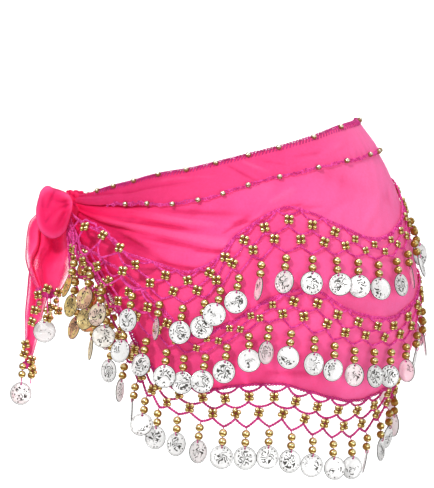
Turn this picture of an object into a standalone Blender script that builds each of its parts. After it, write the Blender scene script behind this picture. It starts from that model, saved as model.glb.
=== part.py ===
"""Belly dance hip scarf, tied at the wearer's side, in metres, +Z up, front towards -Y.

The scarf is a long strip of chiffon wound once round the hips and knotted at -X. The wrap angle
starts at the knot, passes the front (90 degrees), the far side (180) and the back (270).
"""

import bmesh
import bpy
import numpy as np

MM = 0.001

# ---------------------------------------------------------------- driving sizes, millimetres
CLOTH_WALL = 1.2
SEAM_GAP = 0.3
BAND_EASE = 0.8
CORD_WIDTH = 1.8
LACE_STAND_OFF = 2.9
LAYER_STEP = 9.6
FRONT_PITCH = 23.5
BACK_PITCH = 33.0
LACE_START_ANGLE = 13.0
PANEL_START_ANGLE = 3.0
LACE_PARTING_ANGLE = 0.42
FAR_SIDE_ANGLE = 186.0
SEAM_ANGLE = 0.15
KNOT_BULGE = 20.0
KNOT_BULGE_ANGLE = 36.0
BEAD_RADIUS = 4.0
CORD_GAP = 0.7
TOP_CORD_RISE = 1.5
SLOPE_REACH = 30.0
SLOPE_GONE = 10.0
DOUBLES = 0.01
NUDGE = 0.5
TAIL_ROWS = 9
LOOP_STEP = 30

# Half sizes of the hollow at each height: height, half width, half depth.
HIP_SECTIONS = (
    (-190, 136, 94),
    (-140, 138, 96),
    (-110, 142, 100),
    (-75, 150, 106),
    (-51, 158, 112),
    (-30, 165, 116),
    (-10, 168, 118),
    (10, 168, 118),
    (33, 165, 117),
    (55, 160, 114),
    (77, 153, 110),
    (100, 145, 105),
    (131, 130, 96),
    (162, 110, 84),
    (187, 88, 70),
    (200, 78, 62),
)

# The fold along the top, and the depth of the turned-down band: wrap angle, height, band depth.
TOP_EDGE = (
    (0, 82, 8),
    (30, 103, 21),
    (44, 112, 28),
    (57, 119, 33),
    (70, 129, 34),
    (82, 139, 30),
    (96, 150, 28),
    (113, 163, 28),
    (134, 176, 29),
    (155, 183, 27),
    (180, 188, 27),
    (215, 174, 28),
    (250, 148, 28),
    (290, 116, 24),
    (325, 94, 16),
    (360, 82, 8),
)

# Where the edgings run together and climb over each other: wrap angles, share left at the knot.
CROWD_FRONT = (46.0, 61.0)
CROWD_BACK = (299.0, 313.0)
DRAWN_IN = 0.32
DRAWN_IN_ANGLE = 8.0

# Rows of the lace's knots, as shares of its depth: top cord, flower, elbow, heel, tip.
LACE_ROWS = (0.0, 0.40, 0.55, 0.80, 1.0)

# Lace edgings: wrap angle, height of the sewn top cord, depth of the lace below it.
UPPER_LACE = (
    (0, 66, 30),
    (33, 47, 36),
    (50, 33, 35),
    (67, 21, 29),
    (76, 34, 33),
    (83, 62, 40),
    (101, 92, 42),
    (118, 82, 30),
    (135, 71, 19),
    (158, 92, 25),
    (188, 132, 34),
    (222, 100, 28),
    (256, 106, 34),
    (292, 80, 28),
    (325, 66, 28),
    (360, 62, 28),
)
MIDDLE_LACE = (
    (0, 56, 30),
    (25, 34, 32),
    (47, 9, 38),
    (62, -20, 31),
    (72, -38, 17),
    (84, -22, 17),
    (96, 4, 22),
    (108, 17, 40),
    (126, -1, 30),
    (140, -4, 27),
    (156, 10, 33),
    (185, 45, 34),
    (218, 38, 30),
    (252, 60, 36),
    (290, 34, 28),
    (325, 36, 28),
    (360, 54, 28),
)
HEM_LACE = (
    (0, 46, 30),
    (20, 20, 34),
    (38, -12, 44),
    (46, -40, 44),
    (54, -72, 34),
    (62, -88, 27),
    (76, -88, 32),
    (90, -81, 41),
    (103, -76, 42),
    (118, -82, 40),
    (134, -87, 37),
    (150, -79, 38),
    (168, -56, 38),
    (190, -34, 38),
    (220, -6, 34),
    (255, 6, 38),
    (290, -8, 34),
    (320, 0, 32),
    (345, 30, 28),
    (360, 46, 28),
)

# Gathers that fan out from the knot: level between top (0) and hem (1), spread of the level,
# depth (out is plus), wrap angles where the gather is deepest and where it has died out.
FRONT_GATHERS = (
    (0.27, 0.06, -3.0, 22, 88),
    (0.40, 0.06, 2.6, 26, 96),
    (0.54, 0.07, -2.6, 30, 84),
    (0.70, 0.08, 2.2, 28, 70),
    (0.86, 0.07, -2.0, 24, 60),
)
BACK_GATHERS = (
    (0.28, 0.07, -2.8, 336, 268),
    (0.48, 0.08, 2.4, 332, 262),
    (0.70, 0.09, -2.4, 334, 276),
)

# One string of beads with its coin: drop below the lace, half width, half thickness, stand-off.
# It starts and ends in a point.
ROOT_SUNK = 0.3
ROOT_ASIDE = 0.3
PENDANT_LENGTH = 42.5
PENDANT_LEAN = 3.0
PENDANT_STRING = (
    (2.6, 0.45, 0.45, 2.2),
    (7.2, BEAD_RADIUS, BEAD_RADIUS, 5.2),
    (11.4, 1.4, 1.4, 5.3),
    (15.6, BEAD_RADIUS, BEAD_RADIUS, 5.3),
    (19.6, 1.8, 0.8, 4.4),
    (24.0, 10.2, 0.8, 3.4),
    (37.0, 10.2, 0.8, 2.6),
)

# Tails that hang from the knot: height, left side, right side (both as X), place in depth, fold depth.
WIDE_TAIL = (
    (51.3, -210, -186, -2, 4),
    (36, -227, -184, -4, 6),
    (15, -228, -183, -5, 6),
    (-5, -224, -186, -5, 5),
    (-14, -213, -192, -5, 3),
)
LONG_TAIL = (
    (52.0, -206, -186, 9, 3),
    (30, -222, -196, 10, 4),
    (0, -224, -200, 9, 4),
    (-30, -223, -204, 8, 3),
    (-62, -221, -209, 6, 2),
    (-84, -218, -212, 5, 1),
)
BOW_LOOP = (
    (88, 9, 6),
    (80, 17, 9),
    (68, 20, 11),
    (56, 19, 11),
    (46, 14, 9),
    (40, 6, 4),
)
LOOP_CENTRE = (-203, -22.4)
KNOT_CENTRE = (-191.0, 0.5, 68.0)
KNOT_RADII = (16.0, 13.0, 17.0)
KNOT_SEAT_X = -178.9
KNOT_WRAPS = 5.0
KNOT_WRAP_DEPTH = 0.06

# Bead strings at the ends of the tails: X, depth, height of the root, length share, turn in degrees.
WIDE_TAIL_STRINGS = (
    (-211.0, -5.0, -16.0, 0.8, 20),
    (-201.0, -15.0, -17.0, 1.0, -15),
    (-193.0, -4.0, -16.0, 0.7, 60),
)
LONG_TAIL_STRINGS = (
    (-219.5, 5.4, -85.3, 0.95, 10),
    (-210.5, 4.6, -85.3, 0.5, 50),
)


# ---------------------------------------------------------------- scene and materials
def clear_scene():
    for existing in list(bpy.data.objects):
        bpy.data.objects.remove(existing, do_unlink=True)


def make_collection(name):
    collection = bpy.data.collections.new(name)
    bpy.context.scene.collection.children.link(collection)
    return collection


def make_material(name, colour, roughness, metallic=0.0):
    material = bpy.data.materials.new(name)
    material.use_nodes = True
    shader = material.node_tree.nodes["Principled BSDF"]
    shader.inputs["Base Color"].default_value = (*colour, 1.0)
    shader.inputs["Roughness"].default_value = roughness
    shader.inputs["Metallic"].default_value = metallic
    return material


def add_object(name, points, faces, material, collection):
    """A mesh object from points in millimetres."""
    mesh = bpy.data.meshes.new(name)
    mesh.from_pydata((np.asarray(points) * MM).tolist(), [], faces)
    mesh.validate()
    made = bpy.data.objects.new(name, mesh)
    made.data.materials.append(material)
    collection.objects.link(made)
    return made


# ---------------------------------------------------------------- curves and surfaces
def smooth_table(table, column, at):
    """A smooth curve through one column of a table, with no overshoot between its rows."""
    rows = np.asarray(table, float)
    x, y = rows[:, 0], rows[:, column]
    step = np.diff(x)
    slope = np.diff(y) / step
    tangent = np.zeros(len(x))
    same_way = slope[:-1] * slope[1:] > 0
    mean = 2 * slope[:-1] * slope[1:] / np.where(same_way, slope[:-1] + slope[1:], 1)
    tangent[1:-1] = np.where(same_way, mean, 0)
    tangent[0], tangent[-1] = slope[0], slope[-1]
    at = np.clip(np.asarray(at, float), x[0], x[-1])
    i = np.clip(np.searchsorted(x, at) - 1, 0, len(x) - 2)
    t = (at - x[i]) / step[i]
    rise = y[i] + t * t * (3 - 2 * t) * (y[i + 1] - y[i])
    return rise + step[i] * t * (1 - t) * ((1 - t) * tangent[i] - t * tangent[i + 1])


def ramp(value, start, end):
    """0 at start, 1 at end, with an even S between them."""
    t = np.clip((np.asarray(value, float) - start) / (end - start), 0, 1)
    return t * t * (3 - 2 * t)


def angle_from_knot(angle):
    return np.minimum(angle, 360 - angle)


def gather_depth(angle, height):
    """How far the gathers push the cloth out or in."""
    top = smooth_table(TOP_EDGE, 1, angle)
    hem = smooth_table(HEM_LACE, 1, angle)
    level = (top - height) / (top - hem)
    depth = np.zeros(np.broadcast(angle, height).shape)
    for at_level, spread, deep, strong, gone in FRONT_GATHERS + BACK_GATHERS:
        strength = 1 - ramp(np.abs(angle - strong), 0, abs(gone - strong))
        depth += deep * strength * np.exp(-(((level - at_level) / spread) ** 2))
    return depth


def base_surface(angle, height):
    """The cloth's middle surface: an oval section, swollen towards the knot, with gathers."""
    angle, height = np.broadcast_arrays(np.asarray(angle, float), np.asarray(height, float))
    swell = KNOT_BULGE * (1 - ramp(angle_from_knot(angle), 0, KNOT_BULGE_ANGLE))
    swell = swell + gather_depth(angle, height)
    turn = np.radians(angle)
    x = -(smooth_table(HIP_SECTIONS, 1, height) + swell) * np.cos(turn)
    y = -(smooth_table(HIP_SECTIONS, 2, height) + swell) * np.sin(turn)
    return np.stack([x, y, height], axis=-1)


def surface(angle, height, stand_off=0.0):
    """A point of the cloth, moved out along the cloth's own normal."""
    along = base_surface(angle + NUDGE, height) - base_surface(angle - NUDGE, height)
    up = base_surface(angle, height + NUDGE) - base_surface(angle, height - NUDGE)
    normal = np.cross(along, up)
    normal /= np.linalg.norm(normal, axis=-1, keepdims=True)
    return base_surface(angle, height) + normal * np.asarray(stand_off, float)[..., None]


def outward(angle, height):
    return surface(angle, height, 1.0) - surface(angle, height, 0.0)


# ---------------------------------------------------------------- building blocks
def grid_faces(rows, columns, around=False):
    """Quads of a rows by columns grid of points, joined up sideways if it goes around."""
    last = columns if around else columns - 1
    return [
        (
            r * columns + c,
            (r + 1) * columns + c,
            (r + 1) * columns + (c + 1) % columns,
            r * columns + (c + 1) % columns,
        )
        for r in range(rows - 1)
        for c in range(last)
    ]


def cloth_wall(name, grid, material, collection, thickness=CLOTH_WALL):
    """A cloth wall: a grid of points given an even thickness."""
    rows, columns, _ = grid.shape
    made = add_object(name, grid.reshape(-1, 3), grid_faces(rows, columns), material, collection)
    wall = made.modifiers.new("Cloth wall", "SOLIDIFY")
    wall.thickness = thickness * MM
    wall.offset = 0.0
    wall.use_even_offset = True
    made.data.shade_smooth()
    return made


def apply_modifiers(made):
    """The object's evaluated mesh in place of its own, with doubles merged."""
    graph = bpy.context.evaluated_depsgraph_get()
    mesh = bpy.data.meshes.new_from_object(made.evaluated_get(graph))
    shape = bmesh.new()
    shape.from_mesh(mesh)
    bmesh.ops.remove_doubles(shape, verts=shape.verts, dist=DOUBLES * MM)
    bmesh.ops.recalc_face_normals(shape, faces=shape.faces)
    shape.to_mesh(mesh)
    shape.free()
    made.modifiers.clear()
    made.data = mesh


def string_loft(root, down, out, across, lean, share=1.0, stand_offs=1.0, aside=ROOT_ASIDE):
    """Points and faces of one four-sided string of beads with its coin, pointed at both ends."""
    rings = []
    for drop, half_width, half_depth, stand_off in PENDANT_STRING:
        lean_here = lean * drop / PENDANT_LENGTH
        centre = root + down * drop * share + out * (stand_off * stand_offs + lean_here)
        width = half_width * (share if half_width > BEAD_RADIUS else 1.0)
        rings.append([
            centre + across * width,
            centre + out * half_depth,
            centre - across * width,
            centre - out * half_depth,
        ])
    foot = down * PENDANT_LENGTH * share + out * (stand_off * stand_offs + lean)
    ends = [root - down * ROOT_SUNK + (out + across) * aside, root + foot]
    points = np.concatenate([np.asarray(rings).reshape(-1, 3), ends])
    faces = grid_faces(len(rings), 4, around=True)
    start, finish = len(points) - 2, len(points) - 1
    last = len(points) - 6
    for side in range(4):
        faces.append((start, side, (side + 1) % 4))
        faces.append((finish, last + (side + 1) % 4, last + side))
    return points, faces


def join_strings(name, strings, collection):
    """All the strings of one edging in one mesh, used to join them to their cord."""
    points, faces, count = [], [], 0
    for string_points, string_faces in strings:
        faces += [tuple(i + count for i in face) for face in string_faces]
        points.append(string_points)
        count += len(string_points)
    made = add_object(name, np.concatenate(points), faces, STRING_GUIDE, collection)
    made.hide_render = True
    made.display_type = "WIRE"
    shape = bmesh.new()
    shape.from_mesh(made.data)
    bmesh.ops.recalc_face_normals(shape, faces=shape.faces)
    shape.to_mesh(made.data)
    shape.free()
    return made


def fuse(made, guide):
    """Joins the strings to their backing."""
    union = made.modifiers.new("Roots", "BOOLEAN")
    union.operation = "UNION"
    union.solver = "EXACT"
    union.use_self = True
    union.object = guide


# ---------------------------------------------------------------- lace edgings
def lace_columns(table, start, end):
    """Wrap angles an even distance apart along the lace's top cord."""
    fine = np.linspace(start, end, 1441)
    line = surface(fine, smooth_table(table, 1, fine))
    run = np.concatenate([[0], np.cumsum(np.linalg.norm(np.diff(line, axis=0), axis=1))])
    pitch = FRONT_PITCH + (BACK_PITCH - FRONT_PITCH) * ramp(fine, FAR_SIDE_ANGLE, FAR_SIDE_ANGLE + 12)
    columns = np.concatenate([[0], np.cumsum(np.diff(run) / pitch[1:])])
    count = int(round(columns[-1]))
    return np.interp(np.linspace(0, columns[-1], 2 * count + 1), columns, fine)


def lace_lift(angle, layer):
    """The edgings lie over each other where they run together at the knot."""
    crowd = np.maximum(1 - ramp(angle, *CROWD_FRONT), ramp(angle, *CROWD_BACK))
    free = ramp(angle_from_knot(angle), LACE_START_ANGLE, LACE_START_ANGLE + DRAWN_IN_ANGLE)
    return LAYER_STEP * layer * crowd * (DRAWN_IN + (1 - DRAWN_IN) * free)


def lace_point(table, layer, angle, share, extra=0.0):
    """A knot of the lace: a share of the lace's depth below its top cord."""
    height = smooth_table(table, 1, angle) + TOP_CORD_RISE - share * smooth_table(table, 2, angle)
    return surface(angle, height, LACE_STAND_OFF + extra + lace_lift(angle, layer))


def lace_net(name, table, layer, half_columns, material, collection):
    """Two rows of six-sided holes between cords, as a cage of flat cells opened by Wireframe."""
    whole, half = half_columns[0::2], half_columns[1::2]
    columns = (whole, whole, half, half, whole)
    rows = [lace_point(table, layer, at, share) for at, share in zip(columns, LACE_ROWS)]
    first = np.cumsum([0] + [len(row) for row in rows])
    top, knot, elbow, heel, tip = first[:5]
    faces = []
    for j in range(len(half)):
        faces.append((top + j, knot + j, elbow + j, knot + j + 1, top + j + 1))
    for j in range(1, len(half)):
        faces.append((knot + j, elbow + j - 1, heel + j - 1, tip + j, heel + j, elbow + j))
    used = sorted({i for face in faces for i in face})
    renumber = {old: new for new, old in enumerate(used)}
    points = np.concatenate(rows)[used]
    faces = [tuple(renumber[i] for i in face) for face in faces]
    made = add_object(name, points, faces, material, collection)
    cords = made.modifiers.new("Cords", "WIREFRAME")
    cords.thickness = CORD_WIDTH * MM
    cords.offset = 0.0
    cords.use_even_offset = False
    cords.use_relative_offset = False
    cords.use_boundary = True
    cords.use_replace = True
    return made


def lace_strings(table, layer, angles, outer=0.0):
    """The strings of beads and coins that hang from the tips of the lace."""
    strings = []
    for number, angle in enumerate(angles):
        tip = lace_point(table, layer, angle, 1.0, outer)
        height = tip[2]
        slope = surface(angle, height - SLOPE_REACH) - surface(angle, height)
        follow = np.clip((height - SLOPE_GONE) / SLOPE_REACH, 0, 1)
        down = np.asarray([slope[0] * follow, slope[1] * follow, -SLOPE_REACH])
        down /= np.linalg.norm(down)
        out = outward(angle, height)
        out = out - down * out.dot(down)
        out /= np.linalg.norm(out)
        lean = PENDANT_LEAN * (number % 2)
        strings.append(string_loft(tip, down, out, np.cross(out, down), lean))
    return strings


def lace_with_strings(name, table, layer, material, collection, guides):
    """An edging that lies on the cloth, with its strings fused to its tips."""
    half_columns = lace_columns(table, LACE_START_ANGLE, 360 - LACE_START_ANGLE)
    made = lace_net(name, table, layer, half_columns, material, collection)
    strings = lace_strings(table, layer, half_columns[2:-2:2])
    fuse(made, join_strings(name + "_strings", strings, guides))
    return made


def heading_cord(name, path, material, collection):
    """A four-sided cord through a row of points, which a fringe hangs from."""
    curve = bpy.data.curves.new(name, "CURVE")
    curve.dimensions = "3D"
    curve.bevel_depth = CORD_WIDTH / 2 * MM
    curve.bevel_resolution = 0
    curve.use_fill_caps = True
    spline = curve.splines.new("POLY")
    spline.points.add(len(path) - 1)
    for point, place in zip(spline.points, path * MM):
        point.co = (*place, 1.0)
    route = bpy.data.objects.new(name + "_route", curve)
    collection.objects.link(route)
    graph = bpy.context.evaluated_depsgraph_get()
    mesh = bpy.data.meshes.new_from_object(route.evaluated_get(graph))
    bpy.data.objects.remove(route, do_unlink=True)
    made = bpy.data.objects.new(name, mesh)
    mesh.materials.clear()
    mesh.materials.append(material)
    collection.objects.link(made)
    apply_modifiers(made)
    return made


def hem_fringe(name, table, half_columns, material, collection, guides):
    """The hem's fringe: its heading cord runs just outside the lace's own last cord."""
    outer = CORD_WIDTH + CORD_GAP
    whole, half = half_columns[2:-2:2], half_columns[1:-1:2]
    path = np.zeros((len(whole) + len(half), 3))
    path[0::2] = lace_point(table, 0, half, LACE_ROWS[3], outer)
    path[1::2] = lace_point(table, 0, whole, LACE_ROWS[4], outer)
    made = heading_cord(name, path, material, collection)
    strings = lace_strings(table, 0, whole, outer)
    fuse(made, join_strings(name + "_strings", strings, guides))
    return made


# ---------------------------------------------------------------- cloth pieces
def panel(name, start, end, columns, rows, material, collection):
    """One stretch of the wound cloth, from its top fold to its hem."""
    angle = np.linspace(start, end, columns)[None, :]
    level = np.linspace(0, 1, rows)[:, None]
    top = smooth_table(TOP_EDGE, 1, angle)
    hem = smooth_table(HEM_LACE, 1, angle)
    height = top + level * (hem - top)
    return cloth_wall(name, surface(angle + 0 * height, height), material, collection)


def band(name, start, end, columns, material, collection):
    """One stretch of the band turned down over the top of the cloth."""
    angle = np.linspace(start, end, columns)[None, :]
    level = np.linspace(0, 1, 3)[:, None]
    top = smooth_table(TOP_EDGE, 1, angle)
    height = top - level * smooth_table(TOP_EDGE, 2, angle)
    lift = CLOTH_WALL + SEAM_GAP + BAND_EASE
    grid = surface(angle + 0 * height, height, lift + 0 * height)
    return cloth_wall(name, grid, material, collection)


def knot(name, material, collection):
    """The pulled knot, flat where the gathered ends of the cloth meet it."""
    shape = bmesh.new()
    bmesh.ops.create_uvsphere(shape, u_segments=12, v_segments=7, radius=1.0)
    radii = np.asarray(KNOT_RADII)
    centre = np.asarray(KNOT_CENTRE)
    for vertex in shape.verts:
        unit = np.asarray(vertex.co)
        turn = np.arctan2(unit[2], unit[1])
        wrap = 1.0 + KNOT_WRAP_DEPTH * np.sin(KNOT_WRAPS * turn)
        vertex.co = (centre + unit * radii * wrap) * MM
    seat = (KNOT_SEAT_X * MM, 0, 0)
    geometry = shape.verts[:] + shape.edges[:] + shape.faces[:]
    cut = bmesh.ops.bisect_plane(
        shape, geom=geometry, plane_co=seat, plane_no=(1, 0, 0), clear_outer=True
    )
    rim = [item for item in cut["geom_cut"] if isinstance(item, bmesh.types.BMEdge)]
    bmesh.ops.contextual_create(shape, geom=rim)
    bmesh.ops.recalc_face_normals(shape, faces=shape.faces)
    mesh = bpy.data.meshes.new(name)
    shape.to_mesh(mesh)
    shape.free()
    mesh.shade_smooth()
    made = bpy.data.objects.new(name, mesh)
    mesh.materials.append(material)
    collection.objects.link(made)
    return made


def bow_loop(name, material, collection):
    """The loop of the bow: a soft pocket of cloth, open where it goes into the knot."""
    around = np.radians(np.arange(0, 360, LOOP_STEP))[None, :]
    rows = np.asarray(BOW_LOOP, float)
    height, half_width, half_depth = (rows[:, i][:, None] for i in range(3))
    x = LOOP_CENTRE[0] + half_width * np.cos(around)
    y = LOOP_CENTRE[1] + half_depth * np.sin(around)
    grid = np.stack([x, y, height + 0 * x], axis=-1)
    count, columns, _ = grid.shape
    points = grid.reshape(-1, 3)
    faces = grid_faces(count, columns, around=True)
    faces.append(tuple((count - 1) * columns + c for c in range(columns)))
    made = add_object(name, points, faces, material, collection)
    shape = bmesh.new()
    shape.from_mesh(made.data)
    bmesh.ops.recalc_face_normals(shape, faces=shape.faces)
    shape.to_mesh(made.data)
    shape.free()
    wall = made.modifiers.new("Cloth wall", "SOLIDIFY")
    wall.thickness = CLOTH_WALL * MM
    wall.offset = 0.0
    made.data.shade_smooth()
    return made


def tail(name, table, folds, material, collection):
    """A hanging end of the scarf, folded lengthways."""
    rows = np.asarray(table, float)
    height = np.linspace(rows[0, 0], rows[-1, 0], TAIL_ROWS)
    flipped = rows[::-1]
    left, right, depth, fold = (smooth_table(flipped, c, height)[:, None] for c in (1, 2, 3, 4))
    across = np.linspace(0, 1, 4 * folds + 1)[None, :]
    x = left + (right - left) * across
    y = depth + fold * np.cos(2 * np.pi * folds * across)
    grid = np.stack([x, y, height[:, None] + 0 * x], axis=-1)
    return cloth_wall(name, grid, material, collection)


def tail_fringe(name, strings, material, collection, guides):
    """Bead strings that hang from a short heading cord at the end of a tail."""
    roots = np.asarray([(x, y, z) for x, y, z, _, _ in strings])
    made = heading_cord(name, roots, material, collection)
    lofts = []
    for (_, _, _, share, turn), root in zip(strings, roots):
        spin = np.radians(turn)
        out = np.asarray([np.sin(spin), -np.cos(spin), 0.0])
        across = np.asarray([np.cos(spin), np.sin(spin), 0.0])
        down = np.asarray([0.0, 0.0, -1.0])
        loft = string_loft(root, down, out, across, 0.0, share, stand_offs=0.0, aside=0.0)
        lofts.append(loft)
    fuse(made, join_strings(name + "_strings", lofts, guides))
    return made


clear_scene()
PARTS = make_collection("belly_dance_hip_scarf")
GUIDES = make_collection("string_guides")
CHIFFON = make_material("chiffon", (0.86, 0.06, 0.32), 0.62)
CROCHET = make_material("crochet_cord", (0.72, 0.04, 0.36), 0.7)
COIN_SILVER = make_material("coin_silver", (0.74, 0.73, 0.7), 0.3, 1.0)
GOLD_BEAD = make_material("gold_bead", (0.83, 0.62, 0.26), 0.3, 1.0)
STRING_GUIDE = make_material("string_guide", (0.6, 0.6, 0.6), 0.5)

panel("panel_front", PANEL_START_ANGLE, FAR_SIDE_ANGLE - SEAM_ANGLE, 29, 11, CHIFFON, PARTS)
panel("panel_back", FAR_SIDE_ANGLE + SEAM_ANGLE, 360 - PANEL_START_ANGLE, 24, 8, CHIFFON, PARTS)
band("band_front", PANEL_START_ANGLE, FAR_SIDE_ANGLE - SEAM_ANGLE, 29, CHIFFON, PARTS)
band("band_back", FAR_SIDE_ANGLE + SEAM_ANGLE, 360 - PANEL_START_ANGLE, 24, CHIFFON, PARTS)
lace_with_strings("lace_upper", UPPER_LACE, 2, CROCHET, PARTS, GUIDES)
lace_with_strings("lace_middle", MIDDLE_LACE, 1, CROCHET, PARTS, GUIDES)
HEM_COLUMNS = lace_columns(HEM_LACE, LACE_START_ANGLE, 360 - LACE_START_ANGLE)
FAR_COLUMN = 2 * (int(np.searchsorted(HEM_COLUMNS, FAR_SIDE_ANGLE)) // 2)
NEAR_COLUMNS = HEM_COLUMNS[: FAR_COLUMN + 1].copy()
NEAR_COLUMNS[-1] -= LACE_PARTING_ANGLE
BACK_COLUMNS = HEM_COLUMNS[FAR_COLUMN:].copy()
BACK_COLUMNS[0] += LACE_PARTING_ANGLE
lace_net("lace_hem_front", HEM_LACE, 0, NEAR_COLUMNS, CROCHET, PARTS)
lace_net("lace_hem_back", HEM_LACE, 0, BACK_COLUMNS, CROCHET, PARTS)
hem_fringe("fringe_hem", HEM_LACE, HEM_COLUMNS, COIN_SILVER, PARTS, GUIDES)
knot("knot", CHIFFON, PARTS)
bow_loop("bow_loop", CHIFFON, PARTS)
tail("tail_wide", WIDE_TAIL, 2, CHIFFON, PARTS)
tail("tail_long", LONG_TAIL, 1, CHIFFON, PARTS)
tail_fringe("fringe_wide_tail", WIDE_TAIL_STRINGS, GOLD_BEAD, PARTS, GUIDES)
tail_fringe("fringe_long_tail", LONG_TAIL_STRINGS, GOLD_BEAD, PARTS, GUIDES)
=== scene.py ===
"""Looks of the belly dance hip scarf: sheer chiffon, crochet lace, gold beads and silver coins.

Lengths are in millimetres until a mesh is made. The wrap angle runs round the scarf from the knot
at -X, past the front (90 degrees, -Y) and the far side (180), to the back (270). Only the lights
and the camera are placed in metres.
"""

import bpy
import numpy as np
from mathutils import Matrix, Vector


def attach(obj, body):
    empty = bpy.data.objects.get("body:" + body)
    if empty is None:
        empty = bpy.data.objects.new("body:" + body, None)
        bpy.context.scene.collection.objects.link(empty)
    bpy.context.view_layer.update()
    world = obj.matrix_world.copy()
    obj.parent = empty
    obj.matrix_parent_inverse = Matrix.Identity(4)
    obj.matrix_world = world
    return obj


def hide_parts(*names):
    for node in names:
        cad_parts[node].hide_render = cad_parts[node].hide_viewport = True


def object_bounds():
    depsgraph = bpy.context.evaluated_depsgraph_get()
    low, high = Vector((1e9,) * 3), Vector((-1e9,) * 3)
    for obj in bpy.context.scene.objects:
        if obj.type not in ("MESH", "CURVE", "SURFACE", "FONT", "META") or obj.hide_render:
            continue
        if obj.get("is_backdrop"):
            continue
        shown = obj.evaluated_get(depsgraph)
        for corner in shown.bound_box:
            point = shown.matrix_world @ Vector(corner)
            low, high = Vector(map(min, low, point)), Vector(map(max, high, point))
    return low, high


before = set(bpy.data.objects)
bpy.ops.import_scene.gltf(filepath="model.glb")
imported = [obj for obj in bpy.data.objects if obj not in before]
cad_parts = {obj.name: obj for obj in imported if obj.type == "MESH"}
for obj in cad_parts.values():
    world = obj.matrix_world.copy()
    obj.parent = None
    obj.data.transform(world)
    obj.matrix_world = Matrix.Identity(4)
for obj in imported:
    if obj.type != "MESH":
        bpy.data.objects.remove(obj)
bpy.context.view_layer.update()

MM = 0.001
BODY = "root"
UP = (0.0, 0.0, 1.0)
DOWN = (0.0, 0.0, -1.0)

# ---------------------------- the scarf's sizes
SHELL = 0.5  # thickness of the chiffon
TAIL_SHELL = 0.4
MM_PER_DEGREE = 2.6  # cloth that one degree of wrap takes
NUDGE = 0.5  # step, in degrees and in mm, for the cloth's slopes
BAND_STAND_OFF = 2.3
BAND_LINE_OFF = 2.1  # stand-off of the chains along the band
LACE_STAND_OFF = 2.2
LAYER_STEP = 9.6  # from one edging to the next where they lie on each other
CORD_RISE = 1.5
FRONT_PITCH = 23.5  # from string to string
BACK_PITCH = 33.0
PANEL_START_ANGLE = 3.0
LACE_START_ANGLE = 13.0
FAR_SIDE_ANGLE = 186.0
FRONT_WRAP = (PANEL_START_ANGLE, FAR_SIDE_ANGLE)
BACK_WRAP = (FAR_SIDE_ANGLE, 360 - PANEL_START_ANGLE)
KNOT_BULGE = 20.0  # how far the hips' oval swells at the knot
KNOT_BULGE_ANGLE = 36.0
CROWD_FRONT = (46.0, 61.0)  # wrap angles where the edgings part from each other
CROWD_BACK = (299.0, 313.0)
DRAWN_IN = 0.32  # share of the layers' steps that is left at the knot
DRAWN_IN_ANGLE = 8.0
LEAST_CREASE = 1.9  # half width of the narrowest crease

# The short upright line beside the knot that the cloth's ends run into.
THROAT_X = -184.0
THROAT_DEPTH = 4.5
THROAT_TOP = 86.0
THROAT_HEIGHT = 30.0
THROAT_REACH = 17.0

# Half sizes of the hollow at each height: height, half width, half depth.
HIP_SECTIONS = (
    (-190, 136, 94), (-140, 138, 96), (-110, 142, 100), (-75, 150, 106), (-51, 158, 112),
    (-30, 165, 116), (-10, 168, 118), (10, 168, 118), (33, 165, 117), (55, 160, 114),
    (77, 153, 110), (100, 145, 105), (131, 130, 96), (162, 110, 84), (187, 88, 70),
    (200, 78, 62),
)

# The fold along the top, and the depth of the turned-down band: wrap angle, height, band depth.
TOP_EDGE = (
    (0, 82, 8), (30, 103, 21), (44, 112, 28), (57, 119, 33), (70, 129, 34), (82, 139, 30),
    (96, 150, 28), (113, 163, 28), (134, 176, 29), (155, 183, 27), (180, 188, 27),
    (215, 174, 28), (250, 148, 28), (290, 116, 24), (325, 94, 16), (360, 82, 8),
)

# Lace edgings: wrap angle, height of the sewn top cord, depth of the lace below it.
UPPER_LACE = (
    (0, 66, 30), (33, 47, 36), (50, 33, 35), (67, 21, 29), (76, 34, 33), (83, 62, 40),
    (101, 92, 42), (118, 82, 30), (135, 71, 19), (158, 92, 25), (188, 132, 34), (222, 100, 28),
    (256, 106, 34), (292, 80, 28), (325, 66, 28), (360, 62, 28),
)
MIDDLE_LACE = (
    (0, 56, 30), (25, 34, 32), (47, 9, 38), (62, -20, 31), (72, -38, 17), (84, -22, 17),
    (96, 4, 22), (108, 17, 40), (126, -1, 30), (140, -4, 27), (156, 10, 33), (185, 45, 34),
    (218, 38, 30), (252, 60, 36), (290, 34, 28), (325, 36, 28), (360, 54, 28),
)
HEM_LACE = (
    (0, 46, 30), (20, 20, 34), (38, -12, 44), (46, -40, 44), (54, -72, 34), (62, -88, 27),
    (76, -88, 32), (90, -81, 41), (103, -76, 42), (118, -82, 40), (134, -87, 37),
    (150, -79, 38), (168, -56, 38), (190, -34, 38), (220, -6, 34), (255, 6, 38), (290, -8, 34),
    (320, 0, 32), (345, 30, 28), (360, 46, 28),
)

# Gathers that fan out from the knot: level between top (0) and hem (1), spread of the level,
# depth (out is plus), wrap angles where the gather is deepest and where it has died out.
GATHERS = (
    (0.27, 0.06, -3.0, 22, 88),
    (0.40, 0.06, 2.6, 26, 96),
    (0.54, 0.07, -2.6, 30, 84),
    (0.70, 0.08, 2.2, 28, 70),
    (0.86, 0.07, -2.0, 24, 60),
    (0.28, 0.07, -2.8, 336, 268),
    (0.48, 0.08, 2.4, 332, 262),
    (0.70, 0.09, -2.4, 334, 276),
)

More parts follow.
